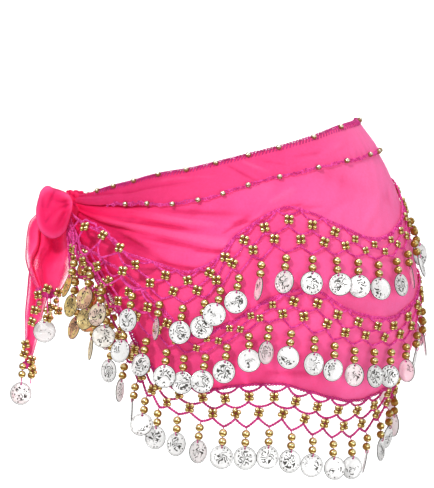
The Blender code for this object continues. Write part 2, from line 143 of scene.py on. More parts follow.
# Soft creases pressed into the cloth where no lace lies on it: wrap angle and height where each
# starts and ends, half width of the crease, depth (out is plus).
CREASES = (
    (2, 77, 56, 83, 2.4, -2.9),
    (2, 73, 62, 78, 4.0, 2.2),
    (4, 69, 50, 69, 3.0, -2.2),
    (10, 70, 66, 72, 2.6, 1.6),
    (8, 64, 82, 46, 2.8, -2.4),
    (14, 64, 84, 53, 3.4, 1.8),
    (20, 66, 80, 63, 2.6, -1.9),
    (30, 70, 86, 71, 4.4, 1.7),
    (34, 76, 90, 84, 2.8, -1.3),
    (30, 71, 66, 63, 1.8, -1.4),
    (38, 53, 96, 41, 2.4, -1.9),
    (36, 60, 92, 50, 4.6, 1.2),
    (50, 29, 80, 23, 3.0, -1.6),
    (79, 73, 94, 80, 1.8, -1.5),
    (66, 43, 85, 47, 2.4, -1.8),
    (76, 60, 87, 84, 3.0, -1.6),
    (82, 66, 93, 92, 3.0, 1.4),
    (97, 89, 108, 103, 1.7, -1.5),
    (99, 86, 112, 97, 1.6, -1.0),
    (92, 96, 104, 114, 3.4, 1.5),
    (103, 96, 118, 100, 3.0, -1.2),
    (112, 88, 128, 112, 6.0, -0.9),
    (130, 82, 150, 118, 8.0, 1.1),
    (140, 100, 164, 130, 7.0, -0.4),
    (86, -41, 107, -26, 3.0, -1.1),
    (88, -52, 114, -40, 4.0, 1.0),
    (112, -50, 134, -62, 5.0, -0.9),
    (96, -66, 122, -60, 4.0, -0.9),
    (352, 70, 300, 92, 4.0, -1.6),
    (354, 64, 296, 62, 5.0, 1.6),
    (346, 60, 270, 40, 5.0, -1.3),
    (268, 88, 240, 60, 7.0, -1.0),
    (238, 120, 216, 84, 8.0, 1.1),
    (246, 30, 224, 12, 6.0, -0.9),
)

# The band's own creases, in the same columns.
BAND_CREASES = (
    (2, 84, 44, 97, 2.0, -1.6),
    (2, 80, 58, 103, 2.2, 1.2),
    (22, 88, 66, 112, 2.4, -1.3),
    (40, 104, 74, 118, 2.2, 0.9),
    (72, 130, 90, 113, 1.8, -1.5),
    (78, 134, 94, 124, 2.4, 1.1),
    (88, 136, 100, 134, 1.8, -0.9),
    (100, 142, 120, 152, 2.6, -1.0),
    (116, 148, 136, 166, 3.0, 0.8),
    (352, 82, 306, 96, 2.6, -0.9),
    (270, 122, 246, 138, 3.5, -0.5),
)


# ---------------------------- curves and surfaces
def smooth_table(table, column, at):
    """A smooth curve through one column of a table, with no overshoot between its rows."""
    rows = np.asarray(table, float)
    x, y = rows[:, 0], rows[:, column]
    step = np.diff(x)
    slope = np.diff(y) / step
    tangent = np.zeros(len(x))
    same_way = slope[:-1] * slope[1:] > 0
    mean = 2 * slope[:-1] * slope[1:] / np.where(same_way, slope[:-1] + slope[1:], 1)
    tangent[1:-1] = np.where(same_way, mean, 0)
    tangent[0], tangent[-1] = slope[0], slope[-1]
    at = np.clip(np.asarray(at, float), x[0], x[-1])
    i = np.clip(np.searchsorted(x, at) - 1, 0, len(x) - 2)
    t = (at - x[i]) / step[i]
    rise = y[i] + t * t * (3 - 2 * t) * (y[i + 1] - y[i])
    return rise + step[i] * t * (1 - t) * ((1 - t) * tangent[i] - t * tangent[i + 1])


def ramp(value, start, end):
    """0 at start, 1 at end, with an even S between them."""
    t = np.clip((np.asarray(value, float) - start) / (end - start), 0, 1)
    return t * t * (3 - 2 * t)


def fall(value, start, end):
    """1 at start, 0 at end, with an even S between them."""
    return 1 - ramp(value, start, end)


def unit(vectors):
    """The same directions at length 1."""
    length = np.linalg.norm(vectors, axis=-1, keepdims=True)
    return vectors / np.maximum(length, 1e-9)


def square_to(vectors, axis):
    """What is left of each direction at right angles to an axis, at length 1."""
    return unit(vectors - axis * (vectors * axis).sum(-1, keepdims=True))


def bell(off, width):
    """A bell curve: 1 where off is 0, nearly 0 two widths away."""
    return np.exp(-((off / width) ** 2))


def run_along(path):
    """Distance along each row of points, 0 at its start."""
    step = np.linalg.norm(np.diff(path, axis=-2), axis=-1)
    return np.concatenate([np.zeros(step.shape[:-1] + (1,)), np.cumsum(step, axis=-1)], axis=-1)


def angle_from_knot(angle):
    """Degrees of wrap to the knot, whichever way round is shorter."""
    return np.minimum(angle, 360 - angle)


def fold_height(angle):
    """Height of the fold along the scarf's top."""
    return smooth_table(TOP_EDGE, 1, angle)


def band_edge(angle):
    """Height of the turned-down band's stitched lower edge."""
    return fold_height(angle) - smooth_table(TOP_EDGE, 2, angle)


def hem_height(angle):
    """Height of the cloth's lower edge."""
    return smooth_table(HEM_LACE, 1, angle)


def level_at(angle, height):
    """Share of the way down from the fold (0) to the hem (1)."""
    top = fold_height(angle)
    return (top - height) / (top - hem_height(angle))


def gather_depth(angle, height):
    """Each gather is a bell curve across the cloth, dying out with the wrap angle."""
    level = level_at(angle, height)
    depth = np.zeros(np.broadcast(angle, height).shape)
    for at_level, spread, deep, strong, gone in GATHERS:
        strength = fall(np.abs(angle - strong), 0, abs(gone - strong))
        depth += deep * strength * bell(level - at_level, spread)
    return depth


def base_surface(angle, height):
    """The cloth's middle: an oval whose half sizes follow the height, swollen at the knot."""
    angle, height = np.broadcast_arrays(np.asarray(angle, float), np.asarray(height, float))
    swell = KNOT_BULGE * fall(angle_from_knot(angle), 0, KNOT_BULGE_ANGLE)
    swell = swell + gather_depth(angle, height)
    turn = np.radians(angle)
    x = -(smooth_table(HIP_SECTIONS, 1, height) + swell) * np.cos(turn)
    y = -(smooth_table(HIP_SECTIONS, 2, height) + swell) * np.sin(turn)
    return np.stack([x, y, height], axis=-1)


def cloth_normal(angle, height):
    """The cloth's outward direction: the cross product of its two slopes."""
    along = base_surface(angle + NUDGE, height) - base_surface(angle - NUDGE, height)
    up = base_surface(angle, height + NUDGE) - base_surface(angle, height - NUDGE)
    return unit(np.cross(along, up))


def surface(angle, height, stand_off=0.0):
    """A point of the cloth, moved out along the cloth's own normal."""
    lift = np.asarray(stand_off, float)[..., None]
    return base_surface(angle, height) + cloth_normal(angle, height) * lift


def crease_depth(table, angle, height, strength, fade_start, opens=False):
    """Each crease is a bell curve across a straight line of wrap angle and height. It fades in
    and out along that line, and a crease that opens is wider towards its end."""
    depth = np.zeros(np.broadcast(angle, height).shape)
    for start, low, end, high, half_width, deep in table:
        along = (angle - start) / (end - start)
        line = low + (high - low) * along
        fade = ramp(along, -0.05, 0.25) * fall(along, fade_start, 1.05)
        if opens:
            half_width = np.maximum(half_width * (0.65 + 0.45 * np.clip(along, 0, 1)), LEAST_CREASE)
        depth += strength * deep * fade * bell(height - line, half_width)
    return depth


def drawn_to_knot(points, angle, height, off):
    """The cloth's ends leave the hips and run together into the knot: near it each point moves
    over to a short upright line beside the knot, in the same order from fold to hem."""
    level = np.minimum(level_at(angle, height), 1.0)
    front = np.where(angle < 180, -1.0, 1.0)
    x = THROAT_X - 0.5 * off
    y = THROAT_DEPTH * front + off * front
    z = THROAT_TOP - THROAT_HEIGHT * level
    throat = np.stack(np.broadcast_arrays(x, y, z), axis=-1)
    pull = fall(angle_from_knot(angle), PANEL_START_ANGLE, THROAT_REACH)
    return points + (throat - points) * pull[..., None]


def drift(u, v, scale, seed):
    """A slow uneven swell between -1 and 1: six sine waves of unlike direction and length."""
    waves = np.random.default_rng(seed)
    total = np.zeros(np.broadcast(u, v).shape)
    for _ in range(6):
        way = waves.uniform(0, np.pi)
        length = scale * waves.uniform(0.6, 1.7)
        phase = waves.uniform(0, 2 * np.pi)
        total += np.sin(2 * np.pi * (u * np.cos(way) + v * np.sin(way)) / length + phase)
    return total / 3.5


# ---------------------------- meshes
class Shape:
    """Points and faces gathered from several arrays, with values kept point by point."""

    def __init__(self):
        self.points = []
        self.faces = []
        self.values = {}
        self.count = 0

    def add(self, points, faces, **values):
        """Adds points (any leading sizes) and arrays of faces that index them."""
        points = np.asarray(points, float).reshape(-1, 3)
        self.points.append(points)
        for block in faces:
            self.faces.append(np.asarray(block, int) + self.count)
        for name, value in values.items():
            flat = np.broadcast_to(np.asarray(value, float).reshape(-1), (len(points),))
            self.values.setdefault(name, []).append(flat)
        self.count += len(points)
        return self


def put_in_scene(name, data):
    """An object for a mesh, a light or a camera."""
    made = bpy.data.objects.new(name, data)
    bpy.context.scene.collection.objects.link(made)
    return made


def smooth_mesh(name, shape, material):
    """One smooth mesh object from a shape."""
    mesh = bpy.data.meshes.new(name)
    points = np.concatenate(shape.points) * MM
    corners = np.concatenate([block.ravel() for block in shape.faces])
    sizes = np.concatenate([np.full(len(block), block.shape[1]) for block in shape.faces])
    mesh.vertices.add(len(points))
    mesh.vertices.foreach_set("co", points.ravel())
    mesh.loops.add(len(corners))
    mesh.loops.foreach_set("vertex_index", corners)
    mesh.polygons.add(len(sizes))
    mesh.polygons.foreach_set("loop_start", np.cumsum(sizes) - sizes)
    mesh.polygons.foreach_set("use_smooth", np.full(len(sizes), True))
    mesh.update(calc_edges=True)
    values = {key: np.concatenate(parts) for key, parts in shape.values.items()}
    if "u" in values:
        layer = mesh.uv_layers.new(name="UVMap")
        flat = np.stack([values.pop("u"), values.pop("v")], axis=-1)
        layer.data.foreach_set("uv", flat[corners].ravel())
    for key, value in values.items():
        attribute = mesh.attributes.new(key, "FLOAT", "POINT")
        attribute.data.foreach_set("value", value)
    mesh.materials.append(material)
    return put_in_scene(name, mesh)


def finish_piece(name, shape, material, replaced=()):
    """A mesh that rides on the scarf and stands for its CAD nodes."""
    made = smooth_mesh(name, shape, material)
    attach(made, BODY)
    if replaced:
        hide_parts(*replaced)
    return made


def grid_quads(rows, columns, around=False):
    """Quads of a rows by columns grid, joined up sideways if it goes around."""
    index = np.arange(rows * columns).reshape(rows, columns)
    if around:
        index = np.concatenate([index, index[:, :1]], axis=1)
    corners = (index[:-1, :-1], index[:-1, 1:], index[1:, 1:], index[1:, :-1])
    return np.stack([c.ravel() for c in corners], axis=-1)


def copies(faces, count, each):
    """The same faces repeated for many copies of a shape that has `each` points."""
    shift = np.arange(count)[:, None, None] * each
    return (faces[None] + shift).reshape(-1, faces.shape[1])


def full_turn(steps):
    """Even angles once round."""
    return 2 * np.pi * np.arange(steps) / steps


def path_directions(path, up):
    """Along each row of points, and to its side."""
    along = unit(np.gradient(path, axis=1))
    return along, unit(np.cross(along, up))


def tubes(path, up, radius, sides=5):
    """A round tube along each row of points: a ring turned about the row's own direction, with
    a flat cap on both ends. Sizes are (tubes, points, 3)."""
    along, side = path_directions(path, up)
    up = np.cross(side, along)
    turn = full_turn(sides)
    ring = np.cos(turn)[:, None] * up[:, :, None] + np.sin(turn)[:, None] * side[:, :, None]
    radius = np.broadcast_to(np.asarray(radius, float), path.shape[:2])
    points = path[:, :, None] + ring * radius[:, :, None, None]
    number, length = path.shape[:2]
    wall = grid_quads(length, sides, around=True)
    first = np.arange(sides)[None]
    last = (length - 1) * sides + np.arange(sides)[None, ::-1]
    each = length * sides
    faces = [copies(wall, number, each), copies(first, number, each), copies(last, number, each)]
    return points, faces


def twisted(shape, path, up, ply=0.82, spread=0.7, pitch=5.2):
    """Two-ply cord: two tubes that wind round the path half a turn apart."""
    along, side = path_directions(path, up)
    lift = np.cross(side, along)
    start = np.arange(len(path))[:, None] * 0.37
    phase = (2 * np.pi * (run_along(path) / pitch + start))[..., None]
    for half_turn in (0.0, np.pi):
        wind = np.cos(phase + half_turn) * lift + np.sin(phase + half_turn) * side
        shape.add(*tubes(path + spread * wind, up, ply))
    return shape


def chain(shape, path, up, across=1.35, bump=0.5, ply=0.68, pitch=5.4):
    """Crochet chain: two threads that swing from side to side, half a stitch apart, each over
    the other in turn."""
    _, side = path_directions(path, up)
    phase = (2 * np.pi * run_along(path) / pitch)[..., None]
    for half_turn in (0.0, np.pi):
        swing = across * np.sin(phase + half_turn) * side
        rise = bump * np.sin(2 * phase + half_turn + 0.8) * up
        shape.add(*tubes(path + swing + rise, up, ply))
    return shape


def ball(segments):
    """A round ball of even quads: a cube's faces in a grid, pushed out to length 1."""
    line = np.tan(np.linspace(-np.pi / 4, np.pi / 4, segments + 1))
    u, v = np.meshgrid(line, line, indexing="ij")
    one = np.ones_like(u)
    sides = [(one, u, v), (-one, v, u), (v, one, u), (u, -one, v), (u, v, one), (v, u, -one)]
    points = np.concatenate([unit(np.stack(s, axis=-1)).reshape(-1, 3) for s in sides])
    quads = copies(grid_quads(segments + 1, segments + 1), 6, (segments + 1) ** 2)[:, ::-1]
    keys = np.round(points, 5)
    _, first, same = np.unique(keys, axis=0, return_index=True, return_inverse=True)
    return points[first], same.reshape(-1)[quads]


def beads(shape, centres, axis, radius, squash=0.94, segments=3, facing=None):
    """Round beads: a ball at each centre, a little shorter along its thread's direction. The
    value "away" is 0 where a bead faces out from the cloth and 1 on its sides, and "rise" goes
    from -1 at a bead's foot to 1 at its head; the gold paints its shade, reflection band and
    highlight from them."""
    points, quads = ball(segments)
    centres = np.asarray(centres, float).reshape(-1, 3)
    axis = np.broadcast_to(axis, centres.shape)
    radius = np.broadcast_to(np.asarray(radius, float), (len(centres),))
    along = points @ axis[:, :, None]
    flat = points[None] + (squash - 1) * along * axis[:, None]
    placed = centres[:, None] + flat * radius[:, None, None]
    facing = axis if facing is None else np.broadcast_to(facing, centres.shape)
    away = 1 - (points @ facing[:, :, None]).ravel()
    rise = np.tile(points[:, 2], len(centres))
    return shape.add(placed, [copies(quads, len(centres), len(points))], away=away, rise=rise)


# ---------------------------- lace
LACE_SAMPLES = 11  # points along each cord
FULL_DEPTH = 30.0  # depth of lace whose flowers have their full size
# Shares of the lace's depth, from its top cord down to the tips that the strings hang from.
V_TOP = 0.0
V_FOOT = 0.15
FLOWER_ONE = 0.28
FLOWER_ONE_FOOT = 0.41
FLOWER_TWO_HEAD = 0.54
FLOWER_TWO = 0.67
FLOWER_TWO_FOOT = 0.80
TIP = 1.0
# Where the cords that run on into the knot end, and the shares at which they leave the lace.
NECK_ANGLE = 3.5
NECK_SHARES = (0.15, 0.41, 0.6, 0.8, 1.0)
FLOWER_BEAD = 2.55
FLOWER_REACH = 2.15  # half the side of a flower's square of beads
# How far the lace's knots stray: degrees of wrap, share of the depth, turn of a flower in radians.
KNOT_SLIP = 0.4
KNOT_DROP = 0.025
FLOWER_SPIN = 0.35


def lace_columns(table, start, end):
    """Wrap angles an even distance apart along the lace's top cord, whole and half columns."""
    fine = np.linspace(start, end, 1441)
    run = run_along(surface(fine, smooth_table(table, 1, fine)))
    behind = ramp(fine, FAR_SIDE_ANGLE, FAR_SIDE_ANGLE + 12)
    pitch = FRONT_PITCH + (BACK_PITCH - FRONT_PITCH) * behind
    columns = np.concatenate([[0], np.cumsum(np.diff(run) / pitch[1:])])
    count = int(round(columns[-1]))
    return np.interp(np.linspace(0, columns[-1], 2 * count + 1), columns, fine)


def lace_lift(angle, layer):
    """The edgings lie over each other where they run together at the knot."""
    crowd = np.maximum(fall(angle, *CROWD_FRONT), ramp(angle, *CROWD_BACK))
    free = ramp(angle_from_knot(angle), LACE_START_ANGLE, LACE_START_ANGLE + DRAWN_IN_ANGLE)
    return LAYER_STEP * layer * crowd * (DRAWN_IN + (1 - DRAWN_IN) * free)


def lace_height(table, angle, share):
    """Height of a knot: a share of the lace's depth below its top cord."""
    return smooth_table(table, 1, angle) + CORD_RISE - share * smooth_table(table, 2, angle)


def lace_at(table, layer, angle, share, extra=0.0):
    """A knot of the lace, held off the cloth by the cord's own thickness."""
    stand_off = LACE_STAND_OFF + extra + lace_lift(angle, layer)
    height = lace_height(table, angle, share)
    return drawn_to_knot(surface(angle, height, stand_off), angle, height, stand_off)


class Lace:
    """The knots of one edging. Whole columns hold the first flowers and the tips, half columns
    the second flowers, each nudged a little."""

    def __init__(self, table, layer, seed):
        self.table = table
        self.layer = layer
        columns = lace_columns(table, LACE_START_ANGLE, 360 - LACE_START_ANGLE)
        self.whole = columns[0::2]
        self.half = columns[1::2]
        nudge = np.random.default_rng(seed)
        self.whole_slip = nudge.uniform(-KNOT_SLIP, KNOT_SLIP, len(self.whole))
        self.half_slip = nudge.uniform(-KNOT_SLIP, KNOT_SLIP, len(self.half))
        self.whole_drop = nudge.uniform(-KNOT_DROP, KNOT_DROP, len(self.whole))
        self.half_drop = nudge.uniform(-KNOT_DROP, KNOT_DROP, len(self.half))
        self.whole_slip[[0, -1]] = 0
        self.spin = nudge.uniform(-FLOWER_SPIN, FLOWER_SPIN, len(columns))

    def on_whole(self, share):
        """Knots on the whole columns, at a share of the depth."""
        return self.whole + self.whole_slip, share + self.whole_drop

    def on_half(self, share):
        """Knots on the half columns, at a share of the depth."""
        return self.half + self.half_slip, share + self.half_drop

    def run(self, start, end, sag):
        """Cords between pairs of knots: wrap angle and share of depth go evenly from one to the
        other, with the middle hanging by sag."""
        t = np.linspace(0, 1, LACE_SAMPLES)[None, :]
        angle = start[0][:, None] * (1 - t) + end[0][:, None] * t
        share = start[1][:, None] * (1 - t) + end[1][:, None] * t + sag * 4 * t * (1 - t)
        path = lace_at(self.table, self.layer, angle, share)
        return path, cloth_normal(angle, lace_height(self.table, angle, share))

    def cords(self):
        """Every cord below the top one: the V loops, the flowers' threads and the two rows of
        slanting cords."""
        top = (self.half, self.half * 0 + V_TOP)
        foot = self.on_whole(V_FOOT)
        under = self.on_whole(FLOWER_ONE_FOOT)
        head = self.on_half(FLOWER_TWO_HEAD)
        heel = self.on_half(FLOWER_TWO_FOOT)
        tips = (self.whole, self.whole * 0 + TIP)
        # Start, end, and how far the middle sags, as a share of the depth.
        runs = [
            (pick(top, 0, None), pick(foot, 1, None), 0.05),
            (pick(top, 0, None), pick(foot, 0, -1), 0.05),
            (foot, under, 0.0),
            (pick(under, 0, -1), head, 0.03),
            (pick(under, 1, None), head, 0.03),
            (head, heel, 0.0),
            (heel, pick(tips, 0, -1), 0.02),
            (heel, pick(tips, 1, None), 0.02),
        ]
        for edge, toward in ((self.whole[:1], NECK_ANGLE), (self.whole[-1:], 360 - NECK_ANGLE)):
            share = np.asarray(NECK_SHARES)
            start = (np.repeat(edge, len(share)), share)
            runs.append((start, (np.full(len(share), toward), share), 0.0))
        made = [self.run(*ends) for ends in runs]
        return [np.concatenate(parts) for parts in zip(*made)]

    def flowers(self):
        """Middle, outward direction, size and turn of each four-bead flower."""
        one = pick(self.on_whole(FLOWER_ONE), 1, -1)
        two = self.on_half(FLOWER_TWO)
        angle = np.concatenate([one[0], two[0]])
        share = np.concatenate([one[1], two[1]])
        height = lace_height(self.table, angle, share)
        middle = lace_at(self.table, self.layer, angle, share, 0.9)
        out = cloth_normal(angle, height)
        size = np.clip(smooth_table(self.table, 2, angle) / FULL_DEPTH, 0.74, 1.0)
        return middle, out, size, self.spin[: len(angle)]


def pick(ends, first, last):
    """A stretch of a row of knots."""
    return ends[0][first:last], ends[1][first:last]


def flower_beads(shape, middle, out, size, spin):
    """Four small round beads in a square about each middle, turned a little."""
    across = unit(np.cross(out, UP))
    down = np.cross(across, out)
    turn = spin[:, None] + np.pi / 4 + np.pi / 2 * np.arange(4)[None, :]
    reach = (FLOWER_REACH * size * np.sqrt(2))[:, None, None]
    arms = np.cos(turn)[..., None] * across[:, None] + np.sin(turn)[..., None] * down[:, None]
    centres = middle[:, None] + reach * arms
    radius = np.repeat(FLOWER_BEAD * size, 4)
    # Tilted outwards, so that the beads' painted dark sides gather in the flower's middle as painted
    # shade.
    facing = unit(out[:, None] + 0.6 * arms).reshape(-1, 3)
    return beads(shape, centres, np.repeat(out, 4, axis=0), radius, facing=facing)


def even_angles(line_at, start, end, samples, step):
    """Wrap angles for points about a step apart along a line that a function of them gives."""
    length = run_along(line_at(np.linspace(start, end, samples)))[-1]
    return np.linspace(start, end, int(length / step))


def top_cord(shape, lace):
    """The chain that is sewn along the lace's top, lifted a little between its stitches."""

    def sewn_line(angle):
        return surface(angle, lace_height(lace.table, angle, 0))

    angle = even_angles(sewn_line, NECK_ANGLE, 360 - NECK_ANGLE, 200, 0.95)
    wave = 0.02 * drift(angle * MM_PER_DEGREE, 0, 22, 5 + lace.layer)
    path = lace_at(lace.table, lace.layer, angle, wave, 0.1)
    up = cloth_normal(angle, lace_height(lace.table, angle, wave))
    return chain(shape, path[None], up[None], across=1.2, ply=0.58, pitch=6.4)


# ---------------------------- bead strings and coins
STRING_BEAD = 4.05
STRING_BEAD_DROPS = (6.3, 14.6)
STRING_STAND_OFF = 3.3
THREAD_RADIUS = 0.55
THREAD_GAP = 1.2  # from the thread's end to the coin's hole
COIN_RADIUS = 11.3
COIN_HOLE = 0.8  # place of the hole, as a share of the radius
HOLE_DROP = 20.4
COIN_STAND_OFF = 4.4
STRING_LEAN = 3.0  # every second string's end stands out this much more
STRING_LENGTH = 42.5
RING_RISE = 1.1
SWAY_SIDEWAYS = 0.05  # radians
SWAY_FORWARD = 0.03
SLOPE_REACH = 30.0  # how far down a string feels the cloth's slope
SLOPE_GONE = 10.0  # strings that start lower than this hang straight down
# The coin's section from its front to its back: radius, height.
COIN_PROFILE = (
    (9.3, 0.28), (10.3, 0.62), (11.3, 0.28), (11.3, -0.28), (10.3, -0.62), (9.3, -0.28),
)
COIN_SIDES = 18
# Shares of the coins: those that face out, and those with the half turned ones. Their turns.
FACING_SHARE = 0.7
HALF_SHARE = 0.91
FACING_TURN = 0.2
HALF_TURNS = (0.55, 0.95)
EDGE_TURNS = (1.05, 1.3)
COIN_TILT = 0.1
COIN_SWING = 0.09
# Distances from the middle, towards the knot, between which the coins turn golden and silver again.
GOLDEN_FROM = (132, 160)
GOLDEN_TO = (184, 190)


def string_places(lace):
    """Root, down, out and across directions of each bead string. It hangs straight down, but
    where the cloth bulges below it, it follows the cloth's slope."""
    angle = lace.whole[1:-1]
    root = lace_at(lace.table, lace.layer, angle, TIP)
    height = root[:, 2]
    slope = surface(angle, height - SLOPE_REACH) - surface(angle, height)
    follow = np.clip((height - SLOPE_GONE) / SLOPE_REACH, 0, 1)
    down = np.stack([slope[:, 0] * follow, slope[:, 1] * follow, 0 * height - SLOPE_REACH], axis=-1)
    down = unit(down)
    out = square_to(cloth_normal(angle, height), down)
    across = np.cross(out, down)
    lean = STRING_LEAN / STRING_LENGTH * (np.arange(len(angle)) % 2)
    down = unit(down + out * lean[:, None])
    return root, down, out, across


def sway(down, out, across, seed):
    """The directions of strings that each hang a few degrees off plumb."""
    nudge = np.random.default_rng(seed)
    swing = nudge.normal(0, SWAY_SIDEWAYS, len(down))[:, None] * across
    push = nudge.uniform(0, SWAY_FORWARD, len(down))[:, None] * out
    down = unit(down + swing + push)
    out = square_to(out, down)
    return down, out, np.cross(out, down)


def coin_turns(count, seed):
    """Turn of each coin about its string: most face out, some are half or nearly edge on."""
    nudge = np.random.default_rng(seed)
    kind = nudge.random(count)
    side = np.where(nudge.random(count) < 0.5, -1.0, 1.0)
    small = nudge.normal(0, FACING_TURN, count)
    half = side * nudge.uniform(*HALF_TURNS, count)
    edge = side * nudge.uniform(*EDGE_TURNS, count)
    return np.where(kind < FACING_SHARE, small, np.where(kind < HALF_SHARE, half, edge))


def warm_by_knot(x):
    """The coins that hang by the knot are golden ones."""
    return ramp(-x, *GOLDEN_FROM) * fall(-x, *GOLDEN_TO)


def coins(shape, hole, down, out, across, turn, seed):
    """Pressed discs hung by a hole near the rim: a turned profile about the coin's own axis,
    with its face's plane kept as u and v between -1 and 1."""
    nudge = np.random.default_rng(seed)
    count = len(hole)
    tilt = nudge.normal(0.0, COIN_TILT, count)[:, None]
    swing = nudge.normal(0.0, COIN_SWING, count)[:, None]
    turn = turn[:, None]
    face = np.cos(turn) * out + np.sin(turn) * across
    hang = unit(down + swing * np.cross(face, down) + tilt * face)
    face = square_to(face, hang)
    wide = np.cross(face, hang)
    centre = hole + hang * COIN_RADIUS * COIN_HOLE
    around = full_turn(COIN_SIDES)
    profile = np.asarray(COIN_PROFILE)
    x = (profile[:, :1] * np.cos(around)).ravel()
    y = (profile[:, :1] * np.sin(around)).ravel()
    z = np.repeat(profile[:, 1], COIN_SIDES)
    points = centre[:, None] + x[:, None] * wide[:, None] - y[:, None] * hang[:, None]
    points = points + z[:, None] * face[:, None]
    each = len(x)
    wall = grid_quads(len(profile), COIN_SIDES, around=True)[:, ::-1]
    front = np.arange(COIN_SIDES)[None]
    back = each - COIN_SIDES + np.arange(COIN_SIDES)[None, ::-1]
    faces = [copies(block, count, each) for block in (wall, front, back)]
    values = {
        "u": np.tile(x / COIN_RADIUS, count),
        "v": np.tile(y / COIN_RADIUS, count),
        "number": np.repeat(nudge.uniform(0, 40, count), each),
        "warm": np.repeat(nudge.uniform(0.75, 1.0, count) * warm_by_knot(centre[:, 0]), each),
        "worn": np.repeat(nudge.uniform(-0.12, 0.2, count), each),
    }
    return shape.add(points, faces, **values)


def hanging_thread(shape, root, down, out, length, stand_off):
    """The thread through the beads: it leaves the root, steps out to the beads and goes down."""
    t = np.linspace(0, 1, 9)[None, :, None]
    step = stand_off * ramp(t, 0.0, 0.22)
    path = root[:, None] + down[:, None] * length * t + out[:, None] * step
    return shape.add(*tubes(path, out[:, None] + 0 * path, THREAD_RADIUS))


def rings(shape, centre, face, across, radius=1.9, wire=0.42, sides=5, steps=10):
    """Small wire rings: a circle in the plane of the two directions, carried round as a tube."""
    turn = full_turn(steps)
    ray = np.cos(turn)[:, None] * face[:, None] + np.sin(turn)[:, None] * across[:, None]
    normal = np.cross(face, across)[:, None]
    ring = full_turn(sides)
    tube = np.cos(ring)[:, None] * ray[:, :, None] + np.sin(ring)[:, None] * normal[:, :, None]
    points = centre[:, None, None] + radius * ray[:, :, None] + wire * tube
    wall = grid_quads(steps, sides, around=True)
    seam = np.stack([np.arange(sides), np.roll(np.arange(sides), -1)], axis=-1)
    last = (steps - 1) * sides
    close = np.concatenate([seam + [last, last], seam[:, ::-1]], axis=1)
    quads = np.concatenate([wall, close])[:, ::-1]
    return shape.add(points, [copies(quads, len(centre), steps * sides)])


# ---------------------------- cloth
# The band's roll over the fold, from the inside out: height over the fold, stand-off.
ROLL = (
    (-5.0, -0.95), (-2.4, -1.05), (-0.4, -0.95), (0.8, -0.45), (1.3, 0.4), (1.1, 1.3),
    (0.3, 2.0), (-1.2, 2.3),
)
ROLL_END = 1.2  # the roll ends this far below the fold
BAND_STITCH = 13.0  # from stitch to stitch along the band's lower edge
BAND_ROWS = 25
LEAST_PUFF = 1.2  # least stand-off of the band
# The trough along the upper lace: height over the top cord, width, depth, and the degrees from
# the knot over which it dies out.
PULL_ABOVE = 4.0
PULL_WIDTH = 3.2
PULL_DEPTH = -1.5
PULL_GONE = (48, 80)
# What the lace and its beads cover: above the top cord, below the tips, with a soft edge.
COVER_ABOVE = 6
COVER_BELOW = 46
COVER_EDGE = 4
# The creases' highest rise from the cloth, and how much less it is under the lace.
RISE_LIMIT = 2.4
RISE_LOSS = 1.8
# Thin creases from the knot: ranges of height, of the degrees at which one starts, of its length
# in degrees, of depth and of width. The higher ones rise and the lower ones fall.
RAY_COUNT = 22
RAY_SEED = 17
RAY_HEIGHTS = (58, 84)
RAY_STARTS = (6, 40)
RAY_LENGTHS = (14, 44)
RAY_DEPTHS = (0.4, 1.1)
RAY_WIDTHS = (1.3, 2.2)
RAY_LEVEL = 70
RAY_FAN = 0.036


def from_knot_to_far(angle):
    """1 at the knot, 0 over the front and the back, -1 at the far side."""
    away = angle_from_knot(angle)
    return fall(away, 4, 86) - ramp(away, 86, 170)


def under_lace(angle, height):
    """1 where lace or its beads lie on the cloth, 0 where the cloth is free."""
    covered = np.zeros(np.broadcast(angle, height).shape)
    for table in (UPPER_LACE, MIDDLE_LACE):
        top = smooth_table(table, 1, angle) + COVER_ABOVE
        foot = top - smooth_table(table, 2, angle) - COVER_BELOW
        below_top = fall(height, top - COVER_EDGE, top)
        covered += ramp(height, foot - COVER_EDGE, foot) * below_top
    return np.clip(covered, 0, 1)


def lace_pull(angle, height):
    """The trough where the upper lace's weight draws the cloth in, along the lace's top cord: a
    bell curve across it, which dies out past the lace's low point."""
    above = height - smooth_table(UPPER_LACE, 1, angle) - PULL_ABOVE
    strength = fall(angle_from_knot(angle), *PULL_GONE)
    return PULL_DEPTH * strength * bell(above, PULL_WIDTH)


def pleats(angle, level, reach, count, depth, seed):
    """Fine gathers drawn into the knot: waves across the cloth, unevenly spaced, which die out
    with the wrap angle."""
    strength = fall(angle_from_knot(angle), 6, reach)
    wander = 0.35 * drift(angle * 1.3, level * 60, 55, seed)
    return depth * strength * np.sin(2 * np.pi * count * (level + 0.1 * wander))


def fine_creases(angle, height):
    """Thin creases that run out of the knot like rays, each at its own height and length."""
    chance = np.random.default_rng(RAY_SEED)
    depth = np.zeros(np.broadcast(angle, height).shape)
    away = angle_from_knot(angle)
    for _ in range(RAY_COUNT):
        start = chance.uniform(*RAY_HEIGHTS)
        slope = (start - RAY_LEVEL) * RAY_FAN + chance.normal(0, 0.12)
        first = chance.uniform(*RAY_STARTS)
        length = chance.uniform(*RAY_LENGTHS)
        deep = chance.uniform(*RAY_DEPTHS) * chance.choice([-1, -1, 1])
        wide = chance.uniform(*RAY_WIDTHS)
        line = start + slope * away + 0.9 * np.sin(away / 7.0 + start)
        fade = ramp(away, first, first + 5) * fall(away, first + length - 8, first + length)
        depth += deep * fade * bell(height - line, wide)
    return depth


def wound_sheet(name, points, angle, height, replaced, crease, double, covered):
    """A sheet of the wound cloth from a grid of points, and that grid."""
    values = {"crease": crease, "double": double, "covered": covered, "knot": from_knot_to_far(angle)}
    shape = Shape().add(points, [grid_quads(*height.shape)], u=angle * MM_PER_DEGREE, v=height, **values)
    return thicken(finish_piece(name, shape, cloth_finish, replaced)), points


